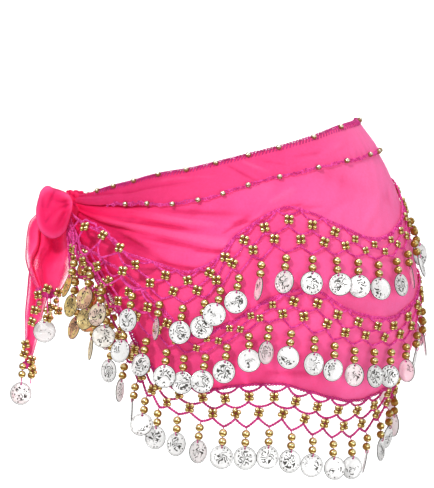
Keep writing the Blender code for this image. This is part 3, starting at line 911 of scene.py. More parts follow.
def cloth_panel(name, start, end, columns, rows, replaced):
    """A stretch of the wound cloth: wrap angle by level from the fold to the hem, with its
    creases and pleats as moves along the cloth's own normal."""
    angle = np.linspace(start, end, columns)[None, :]
    level = np.linspace(0, 1, rows)[:, None]
    top = fold_height(angle)
    height = top + level * (hem_height(angle) - top)
    free_from = band_edge(angle)
    angle = angle + 0 * height
    run = angle * MM_PER_DEGREE
    free = fall(height, free_from - 3, free_from + 4)
    relief = crease_depth(CREASES, angle, height, strength=1.2, fade_start=0.55, opens=True)
    relief = relief + pleats(angle, level, reach=50, count=8.0, depth=0.8, seed=3)
    relief = relief + fine_creases(angle, height) + lace_pull(angle, height)
    relief = relief + 0.6 * drift(run, height, 70, 8) + 0.22 * drift(run, height, 17, 9)
    relief = relief * free
    covered = under_lace(angle, height)
    relief = np.minimum(relief, RISE_LIMIT - RISE_LOSS * covered)
    points = drawn_to_knot(surface(angle, height, relief), angle, height, relief)
    # Painted shade: darker where creases and gathers go in. Also darker towards the hem.
    shade = np.clip(-relief, -1.6, 2.0) + 0.35 * np.clip(-gather_depth(angle, height), -2, 3)
    shade = shade + 0.8 * ramp(level, 0.84, 1.0)
    return wound_sheet(name, points, angle, height, replaced, shade, 1 - free, covered)


def cloth_band(name, start, end, columns, replaced):
    """The turned-down band: it rolls over the fold from the inside, lies over the cloth and is
    drawn back to it along its stitched lower edge."""
    angle = np.linspace(start, end, columns)[None, :]
    top = fold_height(angle)
    depth = smooth_table(TOP_EDGE, 2, angle)
    roll = np.asarray(ROLL)
    share = np.linspace(0, 1, BAND_ROWS)[1:, None]
    stitch = 0.5 * np.sin(2 * np.pi * angle * MM_PER_DEGREE / BAND_STITCH)
    drawn = ramp(share, 0.72, 1.0)
    edge = depth + 0.7 * stitch * ramp(depth, 10, 20)
    height = np.concatenate([top + roll[:, :1], top - ROLL_END - share * (edge - ROLL_END)])
    low = height[len(roll):]
    crease = crease_depth(BAND_CREASES, angle, low, strength=1.0, fade_start=0.6)
    crease = crease + 0.25 * drift(angle * MM_PER_DEGREE, low, 26, 12)
    puff = BAND_STAND_OFF - 0.9 * drawn + 0.35 * stitch * ramp(share, 0.5, 0.9) + crease * (1 - drawn)
    off = np.concatenate([roll[:, 1:] + 0 * angle, np.maximum(puff, LEAST_PUFF)])
    angle = angle + 0 * height
    points = drawn_to_knot(surface(angle, height, off), angle, height, off)
    # Painted shade: darker where the band's creases go in and along its drawn-in lower edge.
    shade = np.concatenate([0 * angle[: len(roll)], -crease + 0.6 * drawn])
    return wound_sheet(name, points, angle, height, replaced, shade, 1.0, 0.0)


def thicken(made, wall=SHELL):
    """Gives a sheet its small thickness, evenly on both sides."""
    shell = made.modifiers.new("Cloth", "SOLIDIFY")
    shell.thickness = wall * MM
    shell.offset = 0.0
    shell.use_even_offset = True
    return made


# ---------------------------- knot, bow loop and tails
# Places and half sizes of the knot, the loop and the short end that stands up behind them. The
# knot is cut flat at its seat.
KNOT_CENTRE = np.array([-191.0, 0.5, 68.0])
KNOT_RADII = np.array([16.0, 13.0, 17.0])
KNOT_SEAT_X = -178.9
LOOP_CENTRE = np.array([-201.7, -22.0, 67.0])
EAR_CENTRE = np.array([-184.0, -5.5, 86.5])
EAR_RADII = np.array([7.5, 3.2, 4.8])

# The loop seen from the front: angle round its middle (0 towards the knot, 90 up), reach.
LOOP_OUTLINE = (
    (-35, 17.9), (-8, 16.2), (23, 18.6), (41, 21.1), (58, 22.3), (73, 22.3),
    (97, 23.5), (114, 27.3), (129, 25.5), (146, 21.5), (170, 19.3), (186, 19.0),
    (206, 19.8), (233, 23.4), (253, 25.8), (269, 27.0), (287, 25.2), (305, 21.9),
    (325, 17.9), (352, 16.2), (383, 18.6),
)
LOOP_DEPTH = 11.0
# Where the loop is pinched thin at the knot: x, z, width of the pinch, share of the depth lost.
LOOP_PINCH = (16.0, 9.5, 8.5, 0.6)
# Creases of the loop: front or back, from (x, z) to (x, z), width, depth (a ridge is minus), and
# how far the line sags between its ends.
LOOP_CREASES = (
    (1, 15.0, 9.4, -7.0, -10.0, 1.9, 3.4, -3.4),
    (1, 15.0, 5.6, 0.0, -11.0, 2.2, -1.6, -2.4),
    (1, 15.0, 12.5, -2.0, 12.0, 1.9, 2.8, 1.5),
    (1, -3.0, 19.0, -8.0, 2.0, 2.1, 2.6, 0.0),
    (1, 11.0, 4.0, 5.6, -15.0, 2.5, 2.4, 1.2),
    (1, 15.0, 3.0, 10.0, -17.0, 2.0, 2.0, 1.2),
    (1, -14.0, 12.0, -10.0, -11.0, 2.2, 1.9, 1.2),
    (-1, 14.0, 9.0, -4.0, 15.0, 2.2, 1.6, 1.2),
    (-1, 14.0, 7.0, -9.0, 2.0, 2.3, 1.5, 1.2),
    (-1, 14.0, 5.0, 1.0, -14.0, 2.4, 1.6, 1.2),
    (-1, 2.0, -2.0, -10.0, -9.0, 2.8, -1.2, 1.2),
)

# The tails of the cloth: height, left side, right side, middle's depth (y), depth of the folds.
WIDE_TAIL = (
    (72, -206, -186, 1, 1.0),
    (66, -218, -184, 0, 2.5),
    (52, -228, -181, -2, 4),
    (38, -229.5, -179, -4, 6),
    (20, -228.5, -179, -5, 6),
    (4, -223, -183, -5, 5),
    (-10, -214, -190, -5, 3),
)
LONG_TAIL = (
    (66, -200, -188, 5, 1.0),
    (58, -203, -187, 7.5, 2),
    (52.0, -206, -186, 9, 3),
    (30, -222, -196, 10, 4),
    (0, -224, -200, 9, 4),
    (-30, -223, -204, 8, 3),
    (-62, -221, -209, 6, 2),
    (-84, -218, -212, 5, 1),
)
# How the wide tail folds: share of its width, share of the fold's depth (in is plus).
WIDE_TAIL_FOLDS = (
    (0.0, 1.0), (0.07, 0.3), (0.16, -0.7), (0.23, -1.0), (0.265, 0.1), (0.29, 1.0),
    (0.325, 0.1), (0.38, -0.2), (0.46, 0.35), (0.56, 0.75), (0.64, 0.45), (0.73, -0.6),
    (0.82, -1.0), (0.90, -0.5), (0.96, 0.3), (1.0, 0.9),
)
LONG_TAIL_FOLDS = (
    (0.0, 0.8), (0.12, 0.2), (0.30, -0.9), (0.45, -0.5), (0.58, 0.5), (0.70, -0.3),
    (0.85, -0.9), (1.0, 0.6),
)
FOLD_SLANT = 0.3
# A lump's waves that aren't folds, and how much painted shade its folds get and how much its hem darkens
# the cloth.
SLOW_WAVES = 4
FOLD_SHADE = 60
LUMP_HEM_SHADE = 2.2
# Where one layer of the tails is left: share of the width, its reach, height, its reach.
SHEER_PATCH = (0.25, 0.11, 13, 13)


def closed_lump(point_at, rows, columns):
    """A closed form from a function of the angle off its axis and the angle round it: rings
    from pole to pole, with a fan of triangles on both ends."""
    off_axis = np.linspace(0, np.pi, rows + 2)[1:-1, None]
    round_axis = np.linspace(0, 2 * np.pi, columns + 1)[None, :-1]
    body = point_at(off_axis, round_axis)
    ends = point_at(np.array([[0.0], [np.pi]]), np.zeros((1, 1))).reshape(2, 3)
    wall = grid_quads(rows, columns, around=True)
    ring = np.arange(columns)
    after = np.roll(ring, -1)
    last = (rows - 1) * columns
    total = rows * columns
    head = np.stack([ring, 0 * ring + total, after], axis=-1)
    foot = np.stack([last + after, 0 * ring + total + 1, last + ring], axis=-1)
    return np.concatenate([body.reshape(-1, 3), ends]), [wall, head, foot]


def outwards(points, faces):
    """The faces, turned round if they enclose the form with their backs out."""
    quads = faces[0]
    middle = points.mean(axis=0)
    corner = points[quads[:, 0]]
    normal = np.cross(points[quads[:, 1]] - corner, points[quads[:, 2]] - corner)
    inward = ((corner - middle) * normal).sum() < 0
    return [block[:, ::-1] for block in faces] if inward else faces


def crumple(way, seed):
    """Small creases without a direction, between -1 and 1, from a slow swell over a ball."""
    u = 22 * way[..., 0] + 9 * way[..., 1]
    v = 22 * way[..., 2] - 9 * way[..., 1]
    return fold_line(5.0 * drift(u, v, 17, seed))


def fold_line(turn):
    """Cloth folded soft on its ridges and sharp in its valleys, between -1 and 1."""
    return 2 * np.abs(np.sin(turn / 2)) ** 0.7 - 1


def knot_point(off_axis, round_axis):
    """The knot: an oval of cloth wrapped round the neck of the scarf, with ridges that run
    round it a little aslant, cut flat where the gathered ends meet it."""
    # Ridges that wind round the knot, and weaker ones across them.
    wind = 9.5 * np.cos(off_axis) + 0.9 * np.sin(round_axis + 0.5) + 0.5 * np.sin(3 * round_axis)
    ridge = 0.06 * np.cos(wind) + 0.03 * np.cos(2.3 * wind + 1.0)
    ridge = ridge + 0.03 * np.cos(5 * round_axis + 2 * off_axis)
    x = -np.cos(off_axis) + 0 * round_axis
    y = np.sin(off_axis) * np.cos(round_axis)
    z = np.sin(off_axis) * np.sin(round_axis)
    swell = 1 + ridge * np.sin(off_axis) ** 0.7 + 0.03 * crumple(np.stack([x, y, z], axis=-1), 6)
    points = KNOT_CENTRE + KNOT_RADII * np.stack([x, y, z], axis=-1) * swell[..., None]
    points[..., 0] = np.minimum(points[..., 0], KNOT_SEAT_X)
    return points


def ear_point(off_axis, round_axis):
    """The short end of cloth that stands up behind the knot: a flat crumpled oval, pulled out
    to a corner on one side."""
    fold = 0.2 * fold_line(4 * round_axis + 3 * off_axis) + 0.13 * fold_line(9 * off_axis + round_axis)
    x = np.cos(off_axis) * (1 + fold)
    y = np.sin(off_axis) * np.cos(round_axis) * (1 + 1.6 * fold)
    corner = 0.3 * np.cos(2 * off_axis) - 0.3 * np.cos(off_axis)
    z = np.sin(off_axis) * np.sin(round_axis) * (1 + fold) + corner
    x, y, z = np.broadcast_arrays(x, y, z)
    return EAR_CENTRE + EAR_RADII * np.stack([x, y, z + 0.2 * x], axis=-1)


def loop_point(off_axis, round_axis):
    """The bow's loop: a flat pouch inside an outline, thinner at the pinch, with creases that
    are short lines worn into its front and its back."""
    reach = smooth_table(LOOP_OUTLINE, 1, np.degrees(round_axis)) * np.sin(off_axis) ** 0.85
    x = reach * np.cos(round_axis)
    z = reach * np.sin(round_axis)
    depth = LOOP_DEPTH * np.cos(off_axis) * np.ones_like(x)
    pinch_x, pinch_z, pinch_width, pinch_loss = LOOP_PINCH
    depth = depth * (1 - pinch_loss * bell(np.hypot(x - pinch_x, z - pinch_z), pinch_width))
    for face, x0, z0, x1, z1, width, deep, sag in LOOP_CREASES:
        wide = x1 - x0
        high = z1 - z0
        run = np.clip(((x - x0) * wide + (z - z0) * high) / (wide**2 + high**2), 0, 1)
        off = np.hypot(x - x0 - run * wide, z - z0 - run * high + sag * np.sin(np.pi * run))
        fade = (1 - 0.75 * run) * (0.4 + 0.6 * ramp(run, 0.0, 0.3))
        worn = deep * fade * bell(off, width * (0.7 + 0.6 * run))
        depth = depth - face * worn * (np.cos(off_axis) * face > 0) * np.abs(np.cos(off_axis)) ** 0.5
    depth = depth + 0.12 * np.cos(off_axis) * crumple(np.stack([x, 0 * x, z], axis=-1) / 22, 5)
    return LOOP_CENTRE + np.stack([x, -depth, z], axis=-1)


def slow_part(reach):
    """A form's reach from its middle without its folds: its slowest waves round the axis,
    evened out along it."""
    waves = np.fft.rfft(reach, axis=1)
    waves[:, SLOW_WAVES:] = 0
    smooth = np.fft.irfft(waves, reach.shape[1], axis=1)
    for _ in range(len(reach) // 3):
        smooth[1:-1] = (smooth[:-2] + smooth[2:]) / 2
    return smooth


def lump_piece(name, lumps, replaced):
    """Closed lumps of bunched cloth in one piece, with painted shade where their folds go in, darker
    along the hem of the rim, paler at the rim seen from the front where one layer is left."""
    shape = Shape()
    for point_at, rows, columns, pale_rim in lumps:
        points, faces = closed_lump(point_at, rows, columns)
        middle = points.mean(axis=0)
        away = np.linalg.norm((points - middle) / np.ptp(points, axis=0), axis=1)
        body = away[:-2].reshape(rows, columns)
        # Painted shade where the form dips in from its smooth shape.
        sunk = (FOLD_SHADE * (slow_part(body) - body)).ravel()
        reach = np.sin(np.linspace(0, np.pi, rows + 2)[1:-1])
        reach = np.concatenate([np.repeat(reach, columns), [0.0, 0.0]])
        hem = pale_rim * ramp(reach, 0.95, 0.99)
        rim = pale_rim * ramp(reach, 0.6, 0.95) * (1 - hem)
        crease = np.concatenate([sunk, [0.5, 0.0]]) + LUMP_HEM_SHADE * hem
        shape.add(
            points,
            outwards(points, faces),
            crease=np.clip(crease, -1.5, 2.5),
            knot=1.0 - 0.75 * rim,
            double=0.25 * (1 - rim),
            covered=0.0,
            u=points[:, 0],
            v=points[:, 2],
        )
    return finish_piece(name, shape, cloth_finish, replaced)


def tail_grid(table, folds, rows, columns, seed):
    """A hanging end of the cloth: its sides and depth follow a table of heights, its folds a
    table across it, and smaller folds wander down it."""
    table = np.asarray(table, float)
    height = np.linspace(table[0, 0], table[-1, 0], rows)[:, None]
    flipped = table[::-1]
    left, right, depth, fold = (smooth_table(flipped, c, height) for c in (1, 2, 3, 4))
    across = np.linspace(0, 1, columns)[None, :]
    wander = 0.06 * drift(across * 60, height, 55, seed)
    slant = FOLD_SLANT * fall(height, 10, 38) * (1 - across)
    wave = across + (wander + slant) * np.sin(np.pi * across)
    # The folds of the table, finer ones that slant down between them, and crumples.
    y = depth + fold * smooth_table(folds, 1, wave)
    y = y + 0.05 * fold * fold_line(2 * np.pi * (7 * wave + 0.3) + height / 16)
    y = y + 0.12 * fold * fold_line(4.0 * drift(across * 45, height, 34, seed + 2))
    # The sides swing a little, and the lower end is cut in a shallow scallop.
    x = left + (right - left) * (across + 0.015 * np.sin(8 * np.pi * across + height / 15))
    x = x + 0.9 * drift(height, 0, 38, seed + 1) * fall(height, 30, 50)
    low = fall(height, table[-1, 0], table[-1, 0] + 18)
    height = height - low * (2.5 * np.sin(np.pi * across) + 1.2 * smooth_table(folds, 1, across))
    return np.stack([x + 0 * y, y, height + 0 * y], axis=-1), across + 0 * height


def tail_piece(name, table, folds, rows, columns, seed, hem_share, replaced):
    """A hanging end as a thin sheet with a narrow rolled hem down both sides."""
    points, across = tail_grid(table, folds, rows, columns, seed)
    height = points[..., 2]
    depth = points[..., 1] - points[..., 1].mean(axis=1, keepdims=True)
    from_side = np.minimum(across, 1 - across)
    hem = fall(from_side, 0.5 * hem_share, hem_share)
    # One layer is left along the sides, more of it lower down, and in the sheer patch.
    low = fall(height, 4, 40)
    edge = fall(from_side + 0.03 * drift(height, 0, 26, seed + 3), 0.0, 0.13 + 0.12 * low)
    share, reach, level, spread = SHEER_PATCH
    edge = np.maximum(edge, 0.85 * (bell(across - share, reach) * bell(height - level, spread)))
    # Painted shade: the crease value and the depth term of the knot value darken the folds that lie
    # further back; crease also darkens the rolled hem.
    shape = Shape().add(
        points,
        [grid_quads(rows, columns)],
        u=points[..., 0],
        v=height,
        crease=0.22 * depth + 0.1 + 1.5 * hem,
        knot=0.72 + 0.05 * depth - 0.95 * edge - 0.45 * fall(height, -45, 22),
        sheer=edge * (1 - hem),
        double=0.5 * hem,
        covered=0.0,
    )
    made = finish_piece(name, shape, tail_finish, replaced)
    return thicken(made, TAIL_SHELL), points


# ---------------------------- materials
BLACK = (0.0, 0.0, 0.0)
# Chiffon: far from the knot and near it, lying double, the painted shade in its creases and under the
# lace, the painted highlight on its ridges, and on the far side, with the strengths of its painted glow.
CHIFFON_LIGHT = (0.97, 0.086, 0.30)
CHIFFON_FULL = (0.93, 0.006, 0.105)
CHIFFON_DOUBLE = (0.74, 0.030, 0.155)
CHIFFON_PAINTED_SHADE = (0.56, 0.004, 0.078)
CHIFFON_PAINTED_HIGHLIGHT = (0.98, 0.16, 0.39)
CHIFFON_FAR = (0.97, 0.20, 0.46)
CHIFFON_SHEEN = (1.0, 0.5, 0.65)
CLOTH_PAINTED_GLOW = 0.16
TAIL_GLOW = 0.22
TAIL_OPACITY = 0.87
WEAVE_TURNS = 2 * np.pi / 0.9  # one thread of the weave every 0.9 mm
# Cords of the lace with the strength of their painted glow, and the darker ones at the hem.
CORD_DEEP = (0.62, 0.007, 0.20)
CORD_PALE = (0.94, 0.075, 0.45)
CORD_LIGHT = (0.96, 0.32, 0.64)
CORD_SHEEN = (1.0, 0.6, 0.9)
CORD_GLOW = 0.07
HEM_CORD_DEEP = (0.46, 0.003, 0.13)
HEM_CORD_PALE = (0.66, 0.020, 0.26)
# Beads: where the plating is rubbed, where it lies thick, and what both kinds share: the painted dark
# of the sides and of a reflection band, the painted highlight, the tint of the edges and the painted
# glow.
GOLD_RUBBED = (1.0, 0.87, 0.38)
GOLD_THICK = (0.96, 0.70, 0.20)
PALE_GOLD_RUBBED = (1.0, 0.97, 0.84)
PALE_GOLD_THICK = (0.98, 0.82, 0.60)
GOLD_PAINTED_DARK = (0.20, 0.075, 0.004)
GOLD_GLEAM = (1.0, 0.93, 0.62)
GOLD_EDGE = (0.22, 0.11, 0.02)
GOLD_GLOW = 0.26
# Coins: silver, golden, the painted pink reflection on golden ones, their dark patches, grooves and
# painted outline, the hole, and the strength of a painted glow.
COIN_BRIGHT = (0.99, 0.985, 0.975)
COIN_WARM = (0.96, 0.68, 0.13)
COIN_PAINTED_PINK_REFLECTION = (0.90, 0.33, 0.24)
COIN_WARM_DARK = (0.36, 0.17, 0.03)
COIN_DARK = (0.035, 0.032, 0.026)
COIN_HOLE_DARK = (0.03, 0.02, 0.03)
COIN_GLOW = 0.07
PAPER = (0.93, 0.93, 0.93)
PAPER_SHADE = 0.97


def arithmetic(operation):
    """One of Python's operators and its reflected form, each as a Math node."""
    return (
        lambda self, other: self.maths(operation, self, other),
        lambda self, other: self.maths(operation, other, self),
    )


class Value:
    """A shader socket that takes Python's own arithmetic. Each sum adds one Math node."""

    __add__, __radd__ = arithmetic("ADD")
    __sub__, __rsub__ = arithmetic("SUBTRACT")
    __mul__, __rmul__ = arithmetic("MULTIPLY")

    def __init__(self, finish, socket):
        self.finish = finish
        self.socket = socket

    def maths(self, operation, *values):
        """One Math node."""
        return self.finish.node("ShaderNodeMath", {"operation": operation}, *values)

    def power(self, exponent):
        return self.maths("POWER", self, exponent)

    def sine(self):
        return self.maths("SINE", self)

    def size(self):
        """The value without its sign."""
        return self.maths("ABSOLUTE", self)

    def step(self, start, end):
        """0 below start, 1 above end, with an even S between them."""
        settings = {"interpolation_type": "SMOOTHSTEP"}
        return self.finish.node("ShaderNodeMapRange", settings, self, start, end, 0.0, 1.0)

    def fall(self, start, end):
        """1 below start, 0 above end."""
        return 1 - self.step(start, end)


class Finish:
    """One material: a Principled shader and the nodes that feed it."""

    def __init__(self, name, roughness, metallic=0.0, sheen=0.0, sheen_tint=None, gloss=0.5):
        self.material = bpy.data.materials.new(name)
        self.material.use_nodes = True
        self.tree = self.material.node_tree
        self.shader = self.tree.nodes["Principled BSDF"]
        self.feed("Metallic", metallic)
        self.feed("Roughness", roughness)
        self.feed("Sheen Weight", sheen)
        self.feed("Specular IOR Level", gloss)
        if sheen_tint:
            self.feed("Sheen Tint", sheen_tint)

    def plug(self, value, socket):
        """Links a shader value to a socket, or sets the socket to a number or a colour."""
        if isinstance(value, Value):
            self.tree.links.new(value.socket, socket)
        elif hasattr(value, "__len__") and len(socket.default_value) == 4:
            socket.default_value = (*value, 1.0)
        else:
            socket.default_value = value

    def node(self, kind, settings, *values, output=0, **named):
        """Any node: its settings first, then its sockets in order, then sockets by name."""
        made = self.tree.nodes.new(kind)
        for key, setting in settings.items():
            setattr(made, key, setting)
        for value, socket in zip(values, made.inputs):
            self.plug(value, socket)
        for key, value in named.items():
            self.plug(value, made.inputs[key])
        return Value(self, made.outputs[output])

    def attribute(self, name):
        """A value kept on the mesh point by point."""
        return self.node("ShaderNodeAttribute", {"attribute_name": name}, output="Fac")

    def place(self, kind="Object"):
        """Where a point lies on its piece: in metres, or "UV" for the mesh's own u and v."""
        return self.node("ShaderNodeTexCoord", {}, output=kind)

    def parts(self, vector):
        """The three parts of a vector."""
        split = self.node("ShaderNodeSeparateXYZ", {}, vector)
        outputs = split.socket.node.outputs
        return [Value(self, outputs[i]) for i in range(3)]

    def noise(self, at, scale, detail, roughness):
        """Cloudy noise from 0 to 1 at a place."""
        named = {"Vector": at, "Scale": scale, "Detail": detail, "Roughness": roughness}
        return self.node("ShaderNodeTexNoise", {}, **named)

    def mix(self, factor, first, second, blend="MIX"):
        """Two colours mixed by a value."""
        settings = {"data_type": "RGBA", "blend_type": blend, "clamp_factor": True}
        made = self.node("ShaderNodeMix", settings, factor).socket.node
        colours = [socket for socket in made.inputs if socket.type == "RGBA"]
        self.plug(first, colours[0])
        self.plug(second, colours[1])
        return Value(self, next(socket for socket in made.outputs if socket.type == "RGBA"))

    def bump(self, height, strength, distance):
        """Makes the surface look raised where the height is large."""
        made = self.node("ShaderNodeBump", {}, Strength=strength, Distance=distance, Height=height)
        self.feed("Normal", made)

    def feed(self, socket, value):
        """Feeds one input of the shader."""
        self.plug(value, self.shader.inputs[socket])


def chiffon(name, glow, alpha=None):
    """Sheer woven cloth: pink that deepens in the double cloth and towards the knot, with a fine even
    weave. Painted shade darkens its creases and the cloth under the lace, a painted highlight
    lightens its ridges, and a painted glow brightens it."""
    cloth = Finish(name, 0.62, sheen=0.04, sheen_tint=CHIFFON_SHEEN, gloss=0.14)
    place = cloth.place()
    flat = cloth.place("UV")
    across, up, _ = cloth.parts(flat)
    cloud = cloth.noise(place, 14.0, 3.0, 0.55)
    near = cloth.attribute("knot")
    base = cloth.mix(near * 0.85 + (cloud - 0.5) * 0.5 + 0.1, CHIFFON_LIGHT, CHIFFON_FULL)
    base = cloth.mix(near * -0.75, base, CHIFFON_FAR)
    doubled = cloth.attribute("double")
    base = cloth.mix(doubled * (near * 0.45 + 0.48), base, CHIFFON_DOUBLE)
    # Painted shade in the creases, from the crease value.
    crease = cloth.attribute("crease")
    base = cloth.mix((crease * 0.42).step(0.0, 1.0) * 0.66, base, CHIFFON_PAINTED_SHADE)
    # Painted shade under the lace, stronger near the knot.
    base = cloth.mix(cloth.attribute("covered") * near * 0.4, base, CHIFFON_PAINTED_SHADE)
    # Painted highlight on the ridges, weaker near the knot.
    pale = (crease * -0.5).step(0.0, 1.0) * (0.4 - near.step(0.0, 1.0) * 0.32)
    base = cloth.mix(pale, base, CHIFFON_PAINTED_HIGHLIGHT)
    slub = cloth.noise(place, 420.0, 2.0, 0.6)
    threads = (across * WEAVE_TURNS).sine() * (up * WEAVE_TURNS).sine()
    grain = (slub - 0.5) * 0.35 + threads * 0.04 + 0.5
    base = cloth.mix(0.5, base, cloth.node("ShaderNodeCombineXYZ", {}, grain, grain, grain), "OVERLAY")
    cloth.feed("Base Color", base)
    # Painted glow: the cloth's colour given off as light, less of it near the knot.
    cloth.feed("Emission Color", cloth.mix(near * 0.6, base, BLACK))
    cloth.feed("Emission Strength", glow)
    cloth.feed("Roughness", slub * 0.2 + 0.52)
    cloth.bump(threads * 0.25 + slub * 0.6 + cloud, 0.35, 0.0006)
    if alpha is not None:
        cloth.feed("Alpha", (slub * 0.1 + alpha - cloth.attribute("sheer") * 0.6).step(0.0, 1.0))
    return cloth.material


def crochet_cord(name, deep, pale):
    """Twisted thread: magenta with paler plies and a matt, slightly furry surface."""
    cord = Finish(name, 0.68, sheen=0.2, sheen_tint=CORD_SHEEN, gloss=0.3)
    place = cord.place()
    patch = cord.noise(place, 240.0, 3.0, 0.6)
    fibre = cord.noise(place, 2600.0, 2.0, 0.6)
    base = cord.mix(patch.step(0.38, 0.66), deep, pale)
    base = cord.mix(fibre.step(0.45, 0.75) * 0.25, base, CORD_LIGHT)
    cord.feed("Base Color", base)
    # Painted glow: the cord's own colour given off as light.
    cord.feed("Emission Color", base)
    cord.feed("Emission Strength", CORD_GLOW)
    cord.feed("Roughness", fibre * 0.25 + 0.55)
    cord.bump(fibre, 0.5, 0.0003)
    return cord.material


def gold(name, bright, deep, roughness):
    """Plated bead: bright where it is rubbed, deeper where the plating lies thick, with painted dark
    sides, a painted dark reflection band below its middle, a painted highlight above it and a painted
    glow.
    """
    plate = Finish(name, roughness, metallic=1.0, gloss=0.2)
    plate.feed("Specular Tint", GOLD_EDGE)
    place = plate.place()
    patch = plate.noise(place, 190.0, 2.0, 0.5)
    fine = plate.noise(place, 1500.0, 2.0, 0.6)
    base = plate.mix(patch.step(0.45, 0.8) * 0.8, bright, deep)
    away = plate.attribute("away")
    rise = plate.attribute("rise") + (patch - 0.5) * 0.3
    # Painted reflection: a dark band just below the bead's middle, on its front.
    belt = rise.step(-0.56, -0.44) * rise.fall(-0.06, 0.08) * away.fall(0.6, 0.9)
    # Painted shade and reflection: dark on the sides that turn from the outward direction, and in the
    # band.
    painted_dark = (away.step(0.24, 0.62) + belt).step(0.0, 1.0)
    # Painted highlight on the upper front.
    base = plate.mix(rise.step(0.05, 0.4) * away.fall(0.1, 0.4) * 0.8, base, GOLD_GLEAM)
    plate.feed("Base Color", plate.mix(painted_dark * 0.9, base, GOLD_PAINTED_DARK))
    # Painted glow, dark where the sides and the band are painted dark.
    plate.feed("Emission Color", plate.mix(painted_dark, base, GOLD_PAINTED_DARK))
    plate.feed("Emission Strength", GOLD_GLOW)
    plate.feed("Metallic", 1 - painted_dark * 0.3)
    plate.feed("Roughness", fine * 0.16 + painted_dark * 0.1 + (roughness - 0.08))
    plate.bump(fine, 0.18, 0.0002)
    return plate.material


def coin_silver():
    """Pressed coin: a raised rim, a ring of dots and three curled leaves that are bent unlike on
    each coin, with dark lines in the grooves that are worn away in places. A painted reflection
    gathers the dark lines on one side of each coin, painted shade outlines the rim, a painted pink
    reflection lies on some golden coins, and a painted glow brightens them. The pattern is generic."""
    coin = Finish("coin_silver", 0.3, metallic=0.22)
    flat = coin.place("UV")
    across, up, _ = coin.parts(flat)
    radius = (across * across + up * up).power(0.5)
    number = coin.attribute("number")
    turn = coin.node("ShaderNodeMath", {"operation": "ARCTAN2"}, up, across) + number
    worn_at = coin.node("ShaderNodeVectorMath", {"operation": "ADD"}, flat, number)
    # Painted reflection: the dark lines gather on one side of each coin, as if it reflected something
    # dark there.
    lean = across * (number * 7.0).sine() + up * (number * 11.0).sine()
    wear_and_painted_reflection = coin.noise(worn_at, 1.5, 1.0, 0.5) + lean * 0.13 - coin.attribute("worn")
    bend = coin.noise(worn_at, 2.2, 1.0, 0.5)
    scratch = coin.noise(worn_at, 9.0, 3.0, 0.7)
    # Shares of the radius: leaves inside 0.66, then the trough with its dots, then the rim.
    rim = radius.step(0.87, 0.91)
    trough = radius.step(0.70, 0.73) * radius.fall(0.83, 0.87) * bend.step(0.42, 0.58)
    dots = (turn * 16.0).sine().step(-0.7, 0.2) * trough
    inside = radius.fall(0.60, 0.66)
    swirl = (turn * 3.0 + (bend - 0.5) * 13.0 + radius * 5.0).sine()
    leaves = swirl.step(-0.2, 0.2) * inside
    edges = (swirl.size() * 1.1).fall(0.35, 1.0) * inside
    # Painted shade: a dark outline round the rim's edge and on the side wall; the fainter ring inside
    # the rim is dark like the grooves.
    outline = radius.step(0.92, 0.965) + radius.step(0.83, 0.86) * radius.fall(0.87, 0.90) * 0.6
    dark = (trough - dots) * 0.8 + edges * 1.1
    dark = (dark * wear_and_painted_reflection.step(0.30, 0.50) + outline * 0.85).step(0.0, 0.9)
    warm = coin.attribute("warm")
    # Painted reflection: a pink tint on some golden coins, as if the cloth were reflected in them.
    painted_pink_reflection = (number * 5.0).sine().step(0.2, 0.4) * bend.step(0.38, 0.5) * 0.75
    base = coin.mix(warm, COIN_BRIGHT, coin.mix(painted_pink_reflection, COIN_WARM, COIN_PAINTED_PINK_REFLECTION))
    base = coin.mix(warm * bend.step(0.46, 0.60) * 0.5, base, COIN_WARM_DARK)
    coin.feed("Metallic", warm * 0.1 + 0.22)
    base = coin.mix(dark * 0.97, base, COIN_DARK)
    hole_y = up - COIN_HOLE
    from_hole = (across * across + hole_y * hole_y).power(0.5)
    base = coin.mix(from_hole.fall(0.06, 0.1), base, COIN_HOLE_DARK)
    coin.feed("Base Color", base)
    # Painted glow: the coin's colour given off as light.
    coin.feed("Emission Color", base)
    coin.feed("Emission Strength", COIN_GLOW)
    coin.feed("Roughness", dark * 0.25 + scratch * 0.1 + 0.2)
    coin.bump(rim + dots + leaves * 0.7 + bend * 1.5 + scratch * 0.08, 0.6, 0.0005)
    return coin.material


def plain_pale(name, colour, roughness):
    """The floor and the backdrop, with a faint cloudiness."""
    ground = Finish(name, roughness)
    cloud = ground.noise(ground.place(), 2.0, 2.0, 0.5)
    shade = tuple(PAPER_SHADE * part for part in colour)
    ground.feed("Base Color", ground.mix(cloud.step(0.3, 0.7), colour, shade))
    return ground.material


# ---------------------------- making the scarf
cloth_finish = chiffon("chiffon", CLOTH_PAINTED_GLOW)
tail_finish = chiffon("chiffon_tail", TAIL_GLOW, alpha=TAIL_OPACITY)
cord_finish = crochet_cord("crochet_cord", CORD_DEEP, CORD_PALE)
hem_cord_finish = crochet_cord("hem_cord", HEM_CORD_DEEP, HEM_CORD_PALE)
gold_finish = gold("gold_bead", GOLD_RUBBED, GOLD_THICK, roughness=0.19)
pale_gold_finish = gold("pale_gold_bead", PALE_GOLD_RUBBED, PALE_GOLD_THICK, roughness=0.24)
silver_finish = coin_silver()

cloth_front = cloth_panel("cloth_front", *FRONT_WRAP, columns=301, rows=141, replaced=["panel_front"])
cloth_back = cloth_panel("cloth_back", *BACK_WRAP, columns=181, rows=81, replaced=["panel_back"])
band_front = cloth_band("band_over_front", *FRONT_WRAP, columns=261, replaced=["band_front"])
band_back = cloth_band("band_over_back", *BACK_WRAP, columns=181, replaced=["band_back"])

